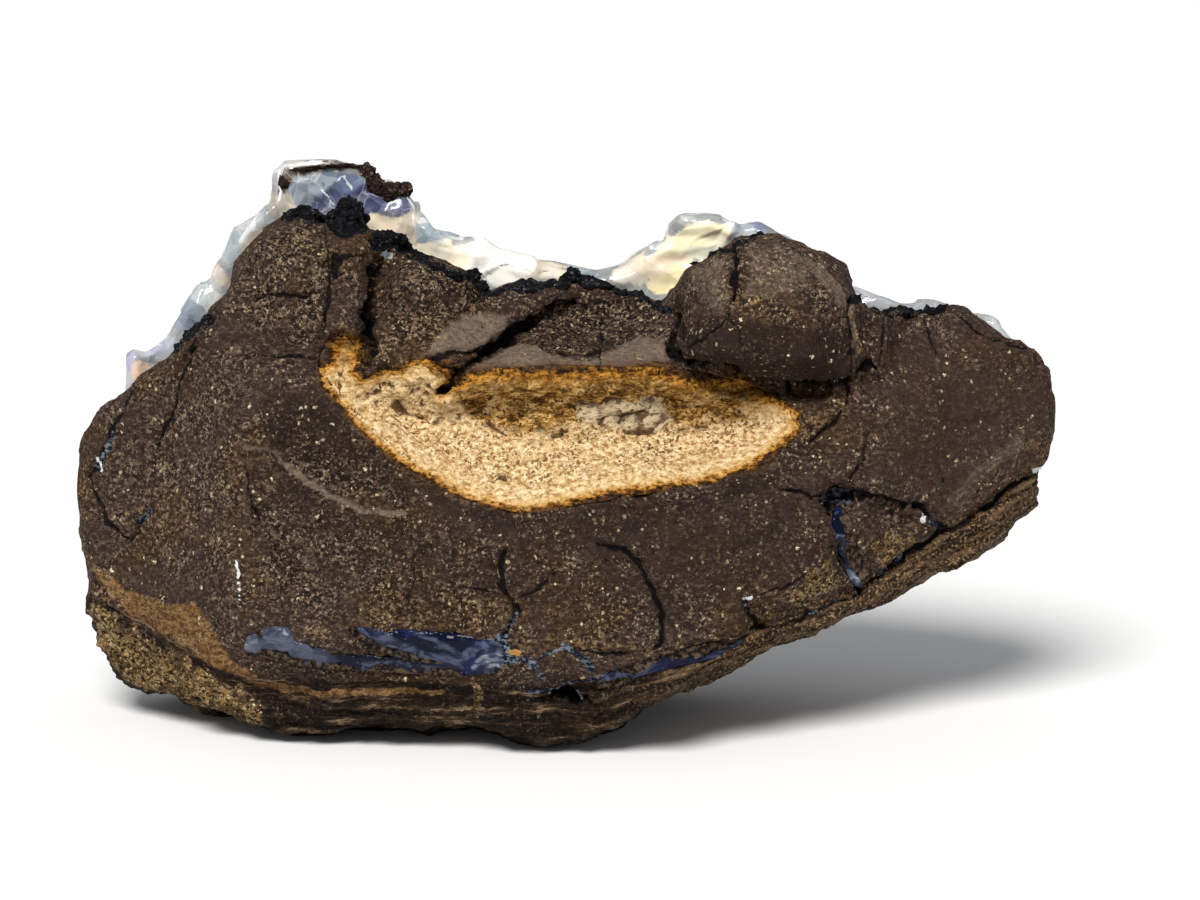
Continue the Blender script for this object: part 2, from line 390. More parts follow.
# Tints seen in the opal: (middle, reach, colour, how clear it is).
OPAL_TINTS = {
    "cap, left blue": ((318, 182), (18, 10), (0.24, 0.31, 0.38), 0.20),
    "cap, left indigo": ((322, 200), (15, 9), (0.100, 0.120, 0.215), 0.14),
    "cap, middle blue": ((346, 186), (16, 9), (0.19, 0.24, 0.36), 0.16),
    "cap, middle indigo": ((366, 198), (18, 14), (0.092, 0.102, 0.205), 0.12),
    "cap, right blue": ((394, 206), (18, 8), (0.105, 0.115, 0.195), 0.10),
    "cap, pale left": ((304, 192), (9, 14), (0.34, 0.38, 0.44), 0.24),
    "cap, cream": ((388, 224), (24, 9), (0.99, 0.82, 0.60), 0.06),
    "cap, tan": ((408, 232), (9, 18), (0.62, 0.50, 0.37), 0.18),
    "cap, left cream": ((282, 204), (13, 11), (0.62, 0.55, 0.44), 0.20),
    "cap, left white": ((279, 176), (5, 12), (0.60, 0.58, 0.60), 0.25),
    "cap, red brown": ((287, 181), (7, 9), (0.090, 0.030, 0.016), 0.04),
    "cap, brown streak": ((302, 171), (15, 5), (0.050, 0.028, 0.020), 0.04),
    "cap, brown top": ((336, 165), (34, 4), (0.17, 0.12, 0.10), 0.10),
    "cap, dark rock": ((384, 190), (14, 7), (0.018, 0.012, 0.010), 0.016),
    "cap, dark ridge": ((369, 176), (6, 8), (0.028, 0.017, 0.013), 0.016),
    "left slope, high": ((248, 222), (16, 10), (0.55, 0.60, 0.60), 0.33),
    "left slope, inner": ((250, 250), (12, 22), (0.64, 0.58, 0.46), 0.22),
    "left slope, blue": ((230, 240), (11, 18), (0.46, 0.53, 0.57), 0.35),
    "left slope, blush": ((216, 277), (10, 7), (0.72, 0.60, 0.47), 0.24),
    "left slope, low": ((203, 296), (14, 12), (0.40, 0.47, 0.49), 0.30),
    "left slope, pale": ((222, 300), (10, 14), (0.56, 0.55, 0.50), 0.25),
    "left slope, foot": ((184, 320), (16, 10), (0.40, 0.45, 0.52), 0.30),
    "horn, left": ((130, 350), (8, 20), (0.42, 0.40, 0.56), 0.22),
    "horn, top": ((152, 346), (20, 8), (0.50, 0.52, 0.64), 0.26),
    "horn": ((142, 372), (10, 9), (0.84, 0.58, 0.38), 0.12),
    "centre, grey": ((434, 232), (18, 10), (0.46, 0.54, 0.60), 0.30),
    "centre, dusk": ((462, 240), (12, 5), (0.38, 0.36, 0.36), 0.25),
    "centre, cream": ((440, 256), (28, 11), (0.98, 0.87, 0.64), 0.04),
    "centre, white": ((500, 262), (32, 17), (0.99, 0.96, 0.88), 0.02),
    "centre, blue edge": ((552, 258), (34, 7), (0.46, 0.50, 0.62), 0.25),
    "centre, low": ((548, 280), (16, 7), (0.86, 0.74, 0.56), 0.10),
    "centre, end": ((582, 274), (10, 8), (0.50, 0.58, 0.64), 0.30),
    "peak, yellow": ((706, 234), (21, 10), (1.0, 0.90, 0.60), 0.02),
    "peak, cream": ((678, 245), (26, 9), (1.0, 0.88, 0.58), 0.03),
    "peak, pink": ((662, 262), (26, 8), (0.97, 0.80, 0.58), 0.05),
    "peak, green": ((706, 257), (16, 8), (0.86, 0.86, 0.62), 0.10),
    "peak, low yellow": ((680, 282), (26, 10), (1.0, 0.84, 0.48), 0.03),
    "peak, tan left": ((630, 272), (16, 9), (0.92, 0.82, 0.66), 0.10),
    "peak, grey top": ((680, 216), (14, 7), (0.50, 0.52, 0.48), 0.25),
    "peak, grey left": ((648, 242), (12, 10), (0.66, 0.68, 0.64), 0.30),
    "peak, grey right": ((740, 240), (16, 12), (0.50, 0.54, 0.58), 0.25),
    "peak, blue": ((757, 227), (7, 5), (0.20, 0.22, 0.44), 0.25),
    "right sliver": ((880, 294), (30, 8), (0.56, 0.58, 0.62), 0.35),
    "end sliver": ((1000, 330), (20, 8), (0.58, 0.62, 0.64), 0.35),
}

# The opal's own tint away from those, and the clouds in it: (size in millimetres, seed, colour and how clear).
BACK_TINT = (0.46, 0.49, 0.50, 0.5)
BACK_CLOUDS = [
    (22.0, 211, (0.57, 0.56, 0.51, 0.35)),
    (15.0, 223, (0.37, 0.41, 0.46, 0.45)),
    (11.0, 227, (0.58, 0.53, 0.45, 0.35)),
    (8.0, 229, (0.62, 0.63, 0.63, 0.25)),
]

# Bright flashes along the crystal's edges: (half width, strength, points).
FLASHES = {
    "cap top": (2.2, 0.8, [(284, 165), (300, 163), (316, 165), (322, 164)]),
    "cap top, right": (1.8, 0.7, [(338, 164), (352, 165), (362, 165)]),
    "cap left": (2.0, 0.8, [(281, 168), (280, 182), (279, 200)]),
    "cap right": (1.8, 0.7, [(409, 196), (412, 212), (414, 226)]),
    "cap, inside": (1.6, 0.7, [(322, 188), (330, 198), (337, 206)]),
    "cap, inside right": (1.6, 0.7, [(338, 182), (345, 176), (352, 190)]),
    "shoulder": (2.0, 0.8, [(418, 222), (430, 230), (436, 236)]),
    "shoulder, low": (1.8, 0.7, [(446, 240), (466, 243)]),
    "centre top": (1.8, 0.8, [(470, 243), (478, 239), (488, 241)]),
    "centre edge": (1.6, 0.7, [(536, 256), (552, 262), (566, 264)]),
    "peak loop": (2.2, 1.0, [(661, 238), (652, 240), (648, 247), (656, 250), (661, 244)]),
    "peak loop, low": (2.2, 1.0, [(642, 249), (632, 252), (626, 258)]),
    "peak top": (1.8, 0.8, [(722, 222), (732, 225)]),
    "peak seam": (1.8, 0.7, [(724, 232), (716, 246), (700, 254)]),
    "slope": (1.8, 0.7, [(262, 218), (250, 230), (243, 244)]),
    "slope, middle": (1.6, 0.6, [(232, 262), (218, 276), (208, 280)]),
    "horn": (1.8, 0.8, [(126, 342), (132, 348), (146, 346), (160, 342)]),
}

# Crests between the crystal's larger breaks: (half width, height in millimetres, points).
CRESTS = {
    "centre, left": (1.8, 0.5, [(487, 238), (474, 256), (464, 276), (462, 290)]),
    "centre, right": (2.0, 0.6, [(487, 238), (508, 252), (530, 268), (566, 276), (600, 286)]),
    "centre, upright": (1.2, 0.4, [(531, 266), (532, 292)]),
    "centre, far left": (1.4, 0.4, [(420, 222), (438, 240), (456, 244), (470, 246)]),
    "peak, over the yellow": (1.6, 0.5, [(666, 226), (688, 222), (706, 224), (730, 232)]),
    "peak, right": (1.6, 0.5, [(730, 232), (722, 248), (704, 262), (690, 270)]),
    "peak, across": (1.5, 0.4, [(640, 262), (662, 250), (690, 250), (716, 244)]),
    "peak, low": (1.5, 0.4, [(618, 280), (650, 270), (680, 272), (700, 268)]),
    "left slope": (1.6, 0.5, [(268, 214), (246, 234), (236, 262), (222, 290), (206, 318)]),
    "left slope, outer": (1.4, 0.4, [(236, 232), (226, 262), (204, 284), (196, 312)]),
    "horn": (1.2, 0.4, [(128, 340), (136, 356), (134, 384)]),
    "cap, left": (1.1, 0.4, [(292, 172), (308, 192), (296, 208)]),
    "cap, valley": (1.1, 0.4, [(312, 176), (322, 194), (338, 178), (350, 200), (362, 182)]),
    "cap, middle": (1.3, 0.4, [(318, 196), (334, 210), (356, 206), (368, 222)]),
    "cap, right": (1.2, 0.4, [(374, 196), (384, 212), (412, 206)]),
}


# --- the view of the broad face ------------------------------------------------------------------


def on_face(points):
    """World points in metres as millimetres across, up and proud of the broad face."""
    x, y, z = (np.asarray(points, float) - FACE_ORIGIN).T / MM
    c, s = math.cos(LEAN), math.sin(LEAN)
    return np.stack([x, y * s + z * c, z * s - y * c], axis=1)


def from_face(points):
    across, up, proud = np.asarray(points, float).T * MM
    c, s = math.cos(LEAN), math.sin(LEAN)
    return np.stack([across, up * s - proud * c, up * c + proud * s], axis=1) + FACE_ORIGIN


def seen(face):
    """Where each point, in face millimetres, is in the view."""
    scale = VIEW_DISTANCE / (VIEW_DISTANCE - face[:, 2]) * PER_MM
    u = VIEW_MIDDLE[0] + (face[:, 0] - VIEW_CENTRE[0]) * scale
    v = VIEW_MIDDLE[1] - (face[:, 1] - VIEW_CENTRE[1]) * scale
    return np.stack([u, v], axis=1)


def smooth(low, high, x):
    t = np.clip((x - low) / (high - low), 0, 1)
    return t * t * (3 - 2 * t)


def near(points, path, reach):
    """The numbers of the points within reach of the path's box."""
    low, high = np.min(path, axis=0) - reach, np.max(path, axis=0) + reach
    return np.flatnonzero(((points > low) & (points < high)).all(axis=1))


def path_distance(points, path, closed=False):
    """Each point's distance to the path, and the share of the path's length it is nearest."""
    corners = np.asarray(path, float)
    starts, ends = (corners, np.roll(corners, -1, axis=0)) if closed else (corners[:-1], corners[1:])
    best = np.full(len(points), np.inf)
    share = np.zeros(len(points))
    lengths = np.linalg.norm(ends - starts, axis=1)
    before = 0.0
    for start, step, length in zip(starts, ends - starts, lengths):
        t = np.clip((points - start) @ step / length**2, 0, 1)
        away = np.hypot(*(points - start - t[:, None] * step).T)
        closer = away < best
        best[closer] = away[closer]
        share[closer] = (before + t[closer] * length) / lengths.sum()
        before += length
    return best, share


def depth_within(points, outline):
    """The distance to the outline, positive within it and negative outside."""
    found = np.zeros(len(points), bool)
    for (x0, y0), (x1, y1) in zip(outline, outline[1:] + outline[:1]):
        spans = (y0 > points[:, 1]) != (y1 > points[:, 1])
        if y0 != y1:
            found ^= spans & (points[:, 0] < x0 + (points[:, 1] - y0) / (y1 - y0) * (x1 - x0))
    away, _ = path_distance(points, outline, closed=True)
    return np.where(found, away, -away)


PROUD = (from_face([(0, 0, 1)]) - from_face([(0, 0, 0)]))[0] / MM  # the way the broad face looks


# --- noise ---------------------------------------------------------------------------------------


def lattice(cell, seed):
    """A repeatable number from 0 to 1 for each whole-number cell."""
    mixed = cell[:, 0] * 73856093 ^ cell[:, 1] * 19349663 ^ cell[:, 2] * 83492791 ^ (seed * 7919 + 17)
    mixed = (mixed ^ (mixed >> 13)) * 1274126177
    return ((mixed ^ (mixed >> 16)) & 0xFFFFFF) / 0xFFFFFF


def lumps(points, size, seed):
    """Smooth noise from -1 to 1 with features about `size` across."""
    turned = points @ TURN / size + seed * 3.7
    cell = np.floor(turned).astype(np.int64)
    part = turned - cell
    part = part**3 * (part * (part * 6 - 15) + 10)
    total = np.zeros(len(points))
    for corner in itertools.product((0, 1), repeat=3):
        weight = np.prod(np.where(corner, part, 1 - part), axis=1)
        total += weight * lattice(cell + corner, seed)
    return total * 2 - 1


# Turned so that the cells of the noise never line up with the faces.
TURN = np.array([[0.36, 0.48, -0.80], [-0.80, 0.60, 0.0], [0.48, 0.64, 0.60]])


def rough(points, size, seed, octaves=4, keep=0.55):
    """Several scales of noise together."""
    total, weight = np.zeros(len(points)), 1.0
    for octave in range(octaves):
        total += weight * lumps(points, size / 2**octave, seed + octave * 11)
        weight *= keep
    return total


def cells(points, size, seed):
    """Scattered cells about `size` across: distances to the nearest two centres, the way from the nearest, its number."""
    at = points @ TURN / size
    base = np.floor(at).astype(np.int64)
    first, second = np.full(len(points), np.inf), np.full(len(points), np.inf)
    way, number = np.zeros((len(points), 3)), np.zeros(len(points))
    for shift in itertools.product((-1, 0, 1), repeat=3):
        cell = base + shift
        centre = cell + np.stack([lattice(cell, seed + i) for i in (1, 2, 3)], axis=1)
        offset = at - centre
        away = np.sqrt((offset**2).sum(axis=1))
        closer = away < first
        second = np.where(closer, first, np.minimum(second, away))
        first = np.where(closer, away, first)
        way[closer] = offset[closer]
        number[closer] = lattice(cell, seed + 5)[closer]
    return first, second, way, number


def facets(points, size, seed):
    """Shallow bowls that meet in creases, as a stone breaks, from about -1 to 1: the lowest of many tilted dishes."""
    at = points @ TURN / size
    base = np.floor(at).astype(np.int64)
    lowest = np.full(len(points), np.inf)
    for shift in itertools.product((-1, 0, 1), repeat=3):
        cell = base + shift
        offset = at - cell - np.stack([lattice(cell, seed + i) for i in (1, 2, 3)], axis=1)
        lean = np.stack([lattice(cell, seed + i) for i in (4, 5, 6)], axis=1) * 2 - 1
        dish = 0.6 * (offset**2).sum(axis=1) + (offset * lean).sum(axis=1)
        lowest = np.minimum(lowest, dish)
    return (lowest + 0.31) * 2.2


# --- meshes --------------------------------------------------------------------------------------


def cad_mesh(node):
    """The node's points and triangles, with the points that coincide made one."""
    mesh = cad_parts[node].data
    mesh.calc_loop_triangles()
    points = np.empty(len(mesh.vertices) * 3)
    mesh.vertices.foreach_get("co", points)
    triangles = np.empty(len(mesh.loop_triangles) * 3, np.int64)
    mesh.loop_triangles.foreach_get("vertices", triangles)
    points = points.reshape(-1, 3)
    _, first, merged = np.unique(np.round(points, 7), axis=0, return_index=True, return_inverse=True)
    triangles = merged.reshape(-1)[triangles].reshape(-1, 3)
    a, b, c = triangles.T
    return points[first], triangles[(a != b) & (b != c) & (c != a)]


def edges_of(triangles):
    """The distinct edges, and each triangle's three edge numbers, opposite none: ab, bc, ca."""
    pairs = np.sort(triangles[:, [[0, 1], [1, 2], [2, 0]]].reshape(-1, 2), axis=1)
    many = int(triangles.max()) + 1
    codes, index = np.unique(pairs[:, 0] * many + pairs[:, 1], return_inverse=True)
    return np.stack([codes // many, codes % many], axis=1), index.reshape(-1, 3)


def refined(points, triangles, spacing, passes=9):
    """Splits every edge longer than the spacing wanted at its middle, given in millimetres by a function."""
    for _ in range(passes):
        edges, index = edges_of(triangles)
        middle = points[edges].mean(axis=1)
        length = np.linalg.norm(points[edges[:, 0]] - points[edges[:, 1]], axis=1)
        split = length > 1.4 * MM * spacing(middle)
        if not split.any():
            break
        number = np.full(len(edges), -1)
        number[split] = len(points) + np.arange(split.sum())
        points = np.concatenate([points, middle[split]])
        triangles = split_triangles(triangles, number[index])
    return points, triangles


def split_triangles(triangles, middles):
    """Each triangle cut at the middles its edges have, -1 meaning none."""
    count = (middles >= 0).sum(axis=1)
    pieces = [triangles[count == 0]]
    a, b, c = triangles[count == 3].T
    ab, bc, ca = middles[count == 3].T
    pieces += [np.stack(t, axis=1) for t in ((a, ab, ca), (ab, b, bc), (ca, bc, c), (ab, bc, ca))]
    for turn in range(3):
        corners, mids = np.roll(triangles, -turn, axis=1), np.roll(middles, -turn, axis=1)
        one = (count == 1) & (mids[:, 0] >= 0)
        a, b, c = corners[one].T
        ab = mids[one, 0]
        pieces += [np.stack(t, axis=1) for t in ((a, ab, c), (ab, b, c))]
        two = (count == 2) & (mids[:, 2] < 0)
        a, b, c = corners[two].T
        ab, bc = mids[two, 0], mids[two, 1]
        pieces += [np.stack(t, axis=1) for t in ((ab, b, bc), (a, ab, bc), (a, bc, c))]
    return np.concatenate(pieces)


def relaxed(points, triangles, rounds, share=0.5, hold=None):
    """Draws each point towards its neighbours, by how little it is held."""
    edges, _ = edges_of(triangles)
    ends, others = np.concatenate([edges, edges[:, ::-1]]).T
    count = np.bincount(ends, minlength=len(points))[:, None]
    free = share if hold is None else (share * (1 - hold))[:, None]
    for _ in range(rounds):
        total = np.stack([np.bincount(ends, points[others, i], len(points)) for i in range(3)], axis=1)
        points = points + free * (total / count - points)
    return points


def normals_of(points, triangles):
    a, b, c = (points[triangles[:, i]] for i in range(3))
    facing = np.cross(b - a, c - a)
    total = np.stack(
        [np.bincount(triangles.reshape(-1), np.repeat(facing[:, i], 3), len(points)) for i in range(3)], axis=1
    )
    return total / np.maximum(np.linalg.norm(total, axis=1), 1e-20)[:, None]


def kept_inside(points):
    """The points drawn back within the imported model's box."""
    low, high = np.array(CAD_BOX[0]), np.array(CAD_BOX[1])
    return np.clip(points, low + 2e-6, high - 2e-6)


def add_piece(name, points, triangles, values, material, replaced, normals=None):
    """A dressed piece that stands for its CAD node, carrying one number per point for each named value."""
    mesh = bpy.data.meshes.new(name)
    mesh.from_pydata(points.tolist(), [], triangles.tolist())
    mesh.polygons.foreach_set("use_smooth", np.ones(len(triangles), bool))
    for value, numbers in values.items():
        kind = "FLOAT_VECTOR" if numbers.ndim == 2 else "FLOAT"
        layer = mesh.attributes.new(value, kind, "POINT")
        layer.data.foreach_set("vector" if numbers.ndim == 2 else "value", numbers.astype(np.float32).ravel())
    if normals is not None:
        mesh.normals_split_custom_set_from_vertices(normals.tolist())
    mesh.materials.append(material)
    obj = bpy.data.objects.new(name, mesh)
    bpy.context.scene.collection.objects.link(obj)
    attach(obj, "root")
    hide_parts(replaced)
    return obj


# --- marks and relief ----------------------------------------------------------------------------


def most(marks, view):
    """The strongest of several lines at each point: (half width, strength, path)."""
    total = np.zeros(len(view))
    for half, strength, path in marks.values():
        here = near(view, path, 1.4 * half)
        away, _ = path_distance(view[here], path)
        total[here] = np.maximum(total[here], strength * smooth(1.35, 0.55, away / half))
    return total


def zones(marks, view):
    """The strongest of several areas at each point: (strength, softness of the edge, outline)."""
    total = np.zeros(len(view))
    for strength, soft, outline in marks.values():
        here = near(view, outline, soft)
        within = depth_within(view[here], outline)
        total[here] = np.maximum(total[here], strength * smooth(-soft, soft, within))
    return total


def crack_marks(view, swell):
    """The depth in millimetres and the darkness of the cracks at each point, wider where they swell."""
    depth, dark = np.zeros(len(view)), np.zeros(len(view))
    for name, (half, deep, path) in {**CRACKS, **CORE_CRACKS}.items():
        here = near(view, path, 2 * half + 3)
        away, share = path_distance(view[here], path)
        width = half * (0.40 + 0.60 * np.sin(np.pi * np.clip(share, 0.06, 0.94)) ** 0.6) * swell[here]
        depth[here] = np.maximum(depth[here], deep * np.clip(1 - (away / (width + 1.2)) ** 2, 0, 1) ** 1.5)
        strength = 1.0 if name in CRACKS else min(1.0, 0.75 + 0.32 * deep)
        dark[here] = np.maximum(dark[here], strength * smooth(1.35, 0.5, away / width))
    return depth, dark


def face_marks(points, normals):
    """What is marked at each point of the rock or of the core, by name."""
    face = on_face(points)
    view = seen(face)
    wander = np.stack([rough(face, 2.2, s, 3) for s in (31, 47)], axis=1)
    ragged = view + wander * 2.2
    slope = (normals @ PROUD).clip(-1, 1)
    ahead = smooth(-0.05, 0.25, slope) * smooth(-3.0, 0.0, face[:, 2])
    depth, dark = crack_marks(ragged, 1 + 0.75 * rough(face, 1.5, 53, 3, 0.7))
    crust = np.zeros(len(points))
    for half, path in BLACK_CRUST.values():
        here = near(view, path, 2 * half + 12)
        away, _ = path_distance((view + wander * 3.2)[here], path)
        crust[here] = np.maximum(crust[here], smooth(1.2, 0.7, away / half))
    glint = np.zeros(len(points))
    for half, path in GLINTS.values():
        here = near(view, path, 8)
        away, _ = path_distance((view + wander * 1.2)[here], path)
        glint[here] = np.maximum(glint[here], smooth(1.2, 0.8, away / half))
    clod, gap = np.zeros(len(points)), np.zeros(len(points))
    broken = zones(BROKEN, ragged)
    here = np.flatnonzero(broken > 0)
    first, second, _, number = cells(face[here] + wander[here].mean(axis=1)[:, None] * 0.15, 1.25, 121)
    clod[here] = broken[here] * number
    gap[here] = broken[here] * smooth(0.24, 0.06, second - first) * smooth(-0.5, 0.2, lumps(face[here], 1.6, 123))
    fleck, _ = path_distance(view, ORANGE_FLECK[1])
    sand = np.full(len(points), -60.0)
    here = np.flatnonzero(ahead > 0.02)
    sand[here] = depth_within((view + wander * 1.9)[here], CORE_EDGE)
    return {
        "face": face,
        "view": view,
        "slope": slope,
        "ahead": ahead,
        "groove": (depth + 0.32 * gap) * ahead,
        "dark": np.maximum(dark, 0.88 * gap) * ahead,
        "clod": clod,
        "black": crust * smooth(-0.4, 0.1, slope),
        "pale": np.maximum(most(PALE_EDGES, ragged), zones(PALE_FACETS, ragged)) * ahead,
        "grainy": zones(GRAINY, ragged) * ahead,
        "ochre": zones(OCHRE, view + wander * 7.0) * ahead,
        "tan": np.maximum(zones(TAN, ragged), most(TAN_LINES, ragged)) * ahead,
        "dusk": zones(DUSK, view + wander * 5.0) * ahead,
        "calm": zones(CALM, view + wander * 6.0) * ahead,
        "opal": most(GREY_OPAL, ragged) * ahead,
        "glint": glint * ahead,
        "fleck": smooth(1.2, 0.8, fleck / ORANGE_FLECK[0]) * ahead,
        "sand": sand,
        "chalk": zones(CHALK, ragged),
        "below": np.interp(face[:, 0], *zip(*BASE_TOP)) - face[:, 1],
    }


def stone_relief(marks):
    """How far the surface stands out from the CAD solid at each point, in millimetres."""
    face, view = marks["face"], marks["view"]
    plain = 1 - 0.85 * np.clip(marks["pale"], 0, 1)
    relief = 0.18 * rough(face, 8.0, 3, 3) + 0.42 * plain * facets(face, 5.0, 61)
    relief += 0.20 * plain * facets(face, 2.1, 67)
    grain = rough(face, 0.95, 21, 3, 0.75)
    relief += grain * plain * (0.075 + 0.15 * marks["grainy"])
    lumpy = np.abs(rough(face, 1.7, 77, 3, 0.65)) + 0.8 * np.maximum(0, rough(face, 3.1, 79, 2))
    relief += marks["black"] * (0.62 * lumpy - 0.42)
    bedded = smooth(0.0, 0.8, marks["below"])
    flow = np.stack([face[:, 0] * 0.10, marks["below"], face[:, 2] * 0.25], axis=1)
    relief += bedded * (0.42 * rough(flow, 0.95, 91, 3, 0.6) + 0.16 * rough(flow, 2.4, 95, 2))
    mossy = smooth(300, 200, view[:, 0]) * bedded
    relief += mossy * 0.34 * (rough(face, 2.2, 97, 3, 0.6) + 0.3)
    relief -= marks["groove"]
    return relief


def sand_relief(marks):
    """The same for the crumbly core, which takes over within its edge."""
    face, view = marks["face"], marks["view"]
    wall = core_wall(marks)
    left = smooth(470, 440, view[:, 0])
    crumb = rough(face, 1.3, 103, 4, 0.68)
    first, second, _, _ = cells(face, 1.15, 107)
    pits = smooth(0.34, 0.10, first) * smooth(0.0, 0.5, lumps(face, 2.4, 109))
    relief = 0.15 * crumb - 0.26 * pits + 0.06 * rough(face, 0.55, 101, 2)
    streaky = np.stack([face[:, 0] * 0.45 + face[:, 1] * 0.25, face[:, 1], face[:, 2]], axis=1)
    clods = facets(streaky, 1.7, 117)
    relief += wall * (0.34 * clods + 0.22 * rough(streaky, 2.2, 113, 4, 0.7))
    relief += left * (0.16 * clods + 0.10 * facets(face, 2.4, 115)) + 0.36 * marks["clod"]
    for (u, v), wide, high in CLODS:
        away = np.hypot((view[:, 0] - u) / wide, (view[:, 1] - v) / high)
        relief += high / 8 * 0.8 * np.sqrt(np.clip(1 - away**2, 0, 1))
    for (u, v), wide, high in CORE_HOLES:
        away = np.hypot((view[:, 0] - u) / wide, (view[:, 1] - v) / high)
        relief -= 1.3 * np.clip(1 - away**2, 0, 1)
    return relief


def core_wall(marks):
    """1 on the rusty upper wall of the hollow, 0 on its pale floor."""
    face, view = marks["face"], marks["view"]
    edge = np.interp(view[:, 0], *zip(*WALL_FOOT))
    return smooth(7, -7, view[:, 1] - edge + 9 * rough(face, 2.6, 119, 3))


# --- pieces --------------------------------------------------------------------------------------


def rock_spacing(points):
    face = on_face(points)
    view = seen(face)
    forward = smooth(-5.0, -1.0, face[:, 2])
    marked = np.zeros(len(points))
    for half, _, path in CRACKS.values():
        here = near(view, path, 14)
        away, _ = path_distance(view[here], path)
        marked[here] = np.maximum(marked[here], smooth(12, 5, away))
    forward_spacing = FRONT_SPACING + (MARK_SPACING - FRONT_SPACING) * marked
    here = near(view, CORE_EDGE, 0)
    covered = smooth(14, 24, depth_within(view[here], CORE_EDGE)) * smooth(-0.5, -1.5, face[here, 2])
    forward_spacing[here] += (BACK_SPACING - forward_spacing[here]) * covered
    return BACK_SPACING + (forward_spacing - BACK_SPACING) * forward


def dress_stone(material):
    points, triangles = cad_mesh("ironstone_matrix")
    points, triangles = refined(points, triangles, rock_spacing)
    flat = smooth(0.0004, 0.0001, points[:, 2])
    points = relaxed(points, triangles, 4, 0.5, flat)
    normals = normals_of(points, triangles)
    marks = face_marks(points, normals)
    sandy = smooth(-4, 4, marks["sand"])
    relief = (1 - sandy) * stone_relief(marks) + sandy * sand_relief(marks)
    points = kept_inside(points + normals * (relief * (1 - flat))[:, None] * MM)
    normals = normals_of(points, triangles)
    middles = on_face(points[triangles].mean(axis=1))
    values = shader_values(marks)
    ahead = middles[:, 2] > 0
    third = np.where(ahead, np.searchsorted(ROCK_PARTS, middles[:, 0]), 3)
    for number, name in enumerate(("left", "middle", "right", "back")):
        chosen = third == number
        used, local = np.unique(triangles[chosen], return_inverse=True)
        part = {key: numbers[used] for key, numbers in values.items()}
        add_piece(
            "ironstone_" + name, points[used], local.reshape(-1, 3), part,
            material, "ironstone_matrix", normals[used],
        )  # fmt: skip
    return points, normals


def add_knobs(name, places, points, normals, material, replaced, black):
    """Small ragged lumps, each seated on the surface given at its place in the view."""
    view = seen(on_face(points))
    ahead = np.flatnonzero((normals @ PROUD) > -0.2)
    shape = bpy.data.meshes.new("knob")
    form = bmesh.new()
    bmesh.ops.create_icosphere(form, subdivisions=4, radius=1.0)
    form.to_mesh(shape)
    form.free()
    ball = np.empty(len(shape.vertices) * 3)
    shape.vertices.foreach_get("co", ball)
    ball = ball.reshape(-1, 3)
    faces = np.array([tuple(p.vertices) for p in shape.polygons])
    bpy.data.meshes.remove(shape)
    all_points, all_faces = [], []
    for number, ((u, v), wide, high) in enumerate(places):
        offset = view[ahead] - (u, v + high * PER_MM * 0.5)
        seat = points[ahead[np.argmin((offset**2).sum(axis=1))]]
        size = np.array((wide, high, 0.8 * wide))
        lump = ball * (1 + 0.34 * rough(ball + number * 9.0, 0.8, 171, 4, 0.65))[:, None]
        place = on_face([seat])[0] + (0, 0.25 * high, -0.2 * wide)
        all_faces.append(faces + len(ball) * number)
        all_points.append(from_face(place + lump * size))
    knobs, triangles = np.concatenate(all_points), np.concatenate(all_faces)
    knobs = kept_inside(knobs)
    blank = {name: np.zeros(len(knobs)) for name in VALUE_NAMES}
    blank["black"] += black
    blank["dusk"] += 1
    blank["sand"] -= 60
    blank["below"] -= 30
    add_piece(name, knobs, triangles, blank, material, replaced)


VALUE_NAMES = (
    "dark", "black", "pale", "grainy", "ochre", "tan", "dusk", "calm", "opal", "glint", "fleck", "sand", "chalk", "below",
    "wall", "across",
)  # fmt: skip


def shader_values(marks):
    values = {name: marks[name] for name in VALUE_NAMES if name in marks}
    values["wall"] = core_wall(marks)
    values["across"] = marks["view"][:, 0]
    return values


def dress_core(material):
    points, triangles = cad_mesh("pale_core")
    top = on_face(points)[:, 2].max()

    def spacing(middle):
        return 1.2 + (CORE_SPACING - 1.2) * smooth(top - 8.0, top - 4.0, on_face(middle)[:, 2])

    points, triangles = refined(points, triangles, spacing)
    points = relaxed(points, triangles, 3)
    normals = normals_of(points, triangles)
    marks = face_marks(points, normals)
    forward = smooth(0.30, 0.65, marks["slope"])
    relief = sand_relief(marks) * forward + GAP_FILL * (1 - forward)
    relief -= marks["groove"] * forward
    points = kept_inside(points + normals * relief[:, None] * MM)
    add_piece("sandy_core", points, triangles, shader_values(marks), material, "pale_core")


def dress_vein(node, name, material):
    points, triangles = cad_mesh(node)
    normals = normals_of(points, triangles)

    def spacing(middle):
        return np.full(len(middle), VEIN_SPACING)

    points, triangles = refined(points, triangles, spacing)
    points = relaxed(points, triangles, 2)
    normals = normals_of(points, triangles)
    face = on_face(points)
    view = seen(face)
    forward = smooth(0.35, 0.75, normals @ PROUD)
    wave = 0.16 * facets(face, 3.0, 131) + 0.05 * facets(face, 1.3, 133)
    ragged = view + np.stack([rough(face, 1.2, s, 3, 0.7) for s in (137, 139)], axis=1) * 1.7
    values = vein_marks(node, ragged)
    relief = forward * (wave - 0.02 - 0.25 * values["stone"]) + GAP_FILL * (1 - forward)
    points = kept_inside(points + normals * relief[:, None] * MM)
    add_piece(name, points, triangles, values, material, node)


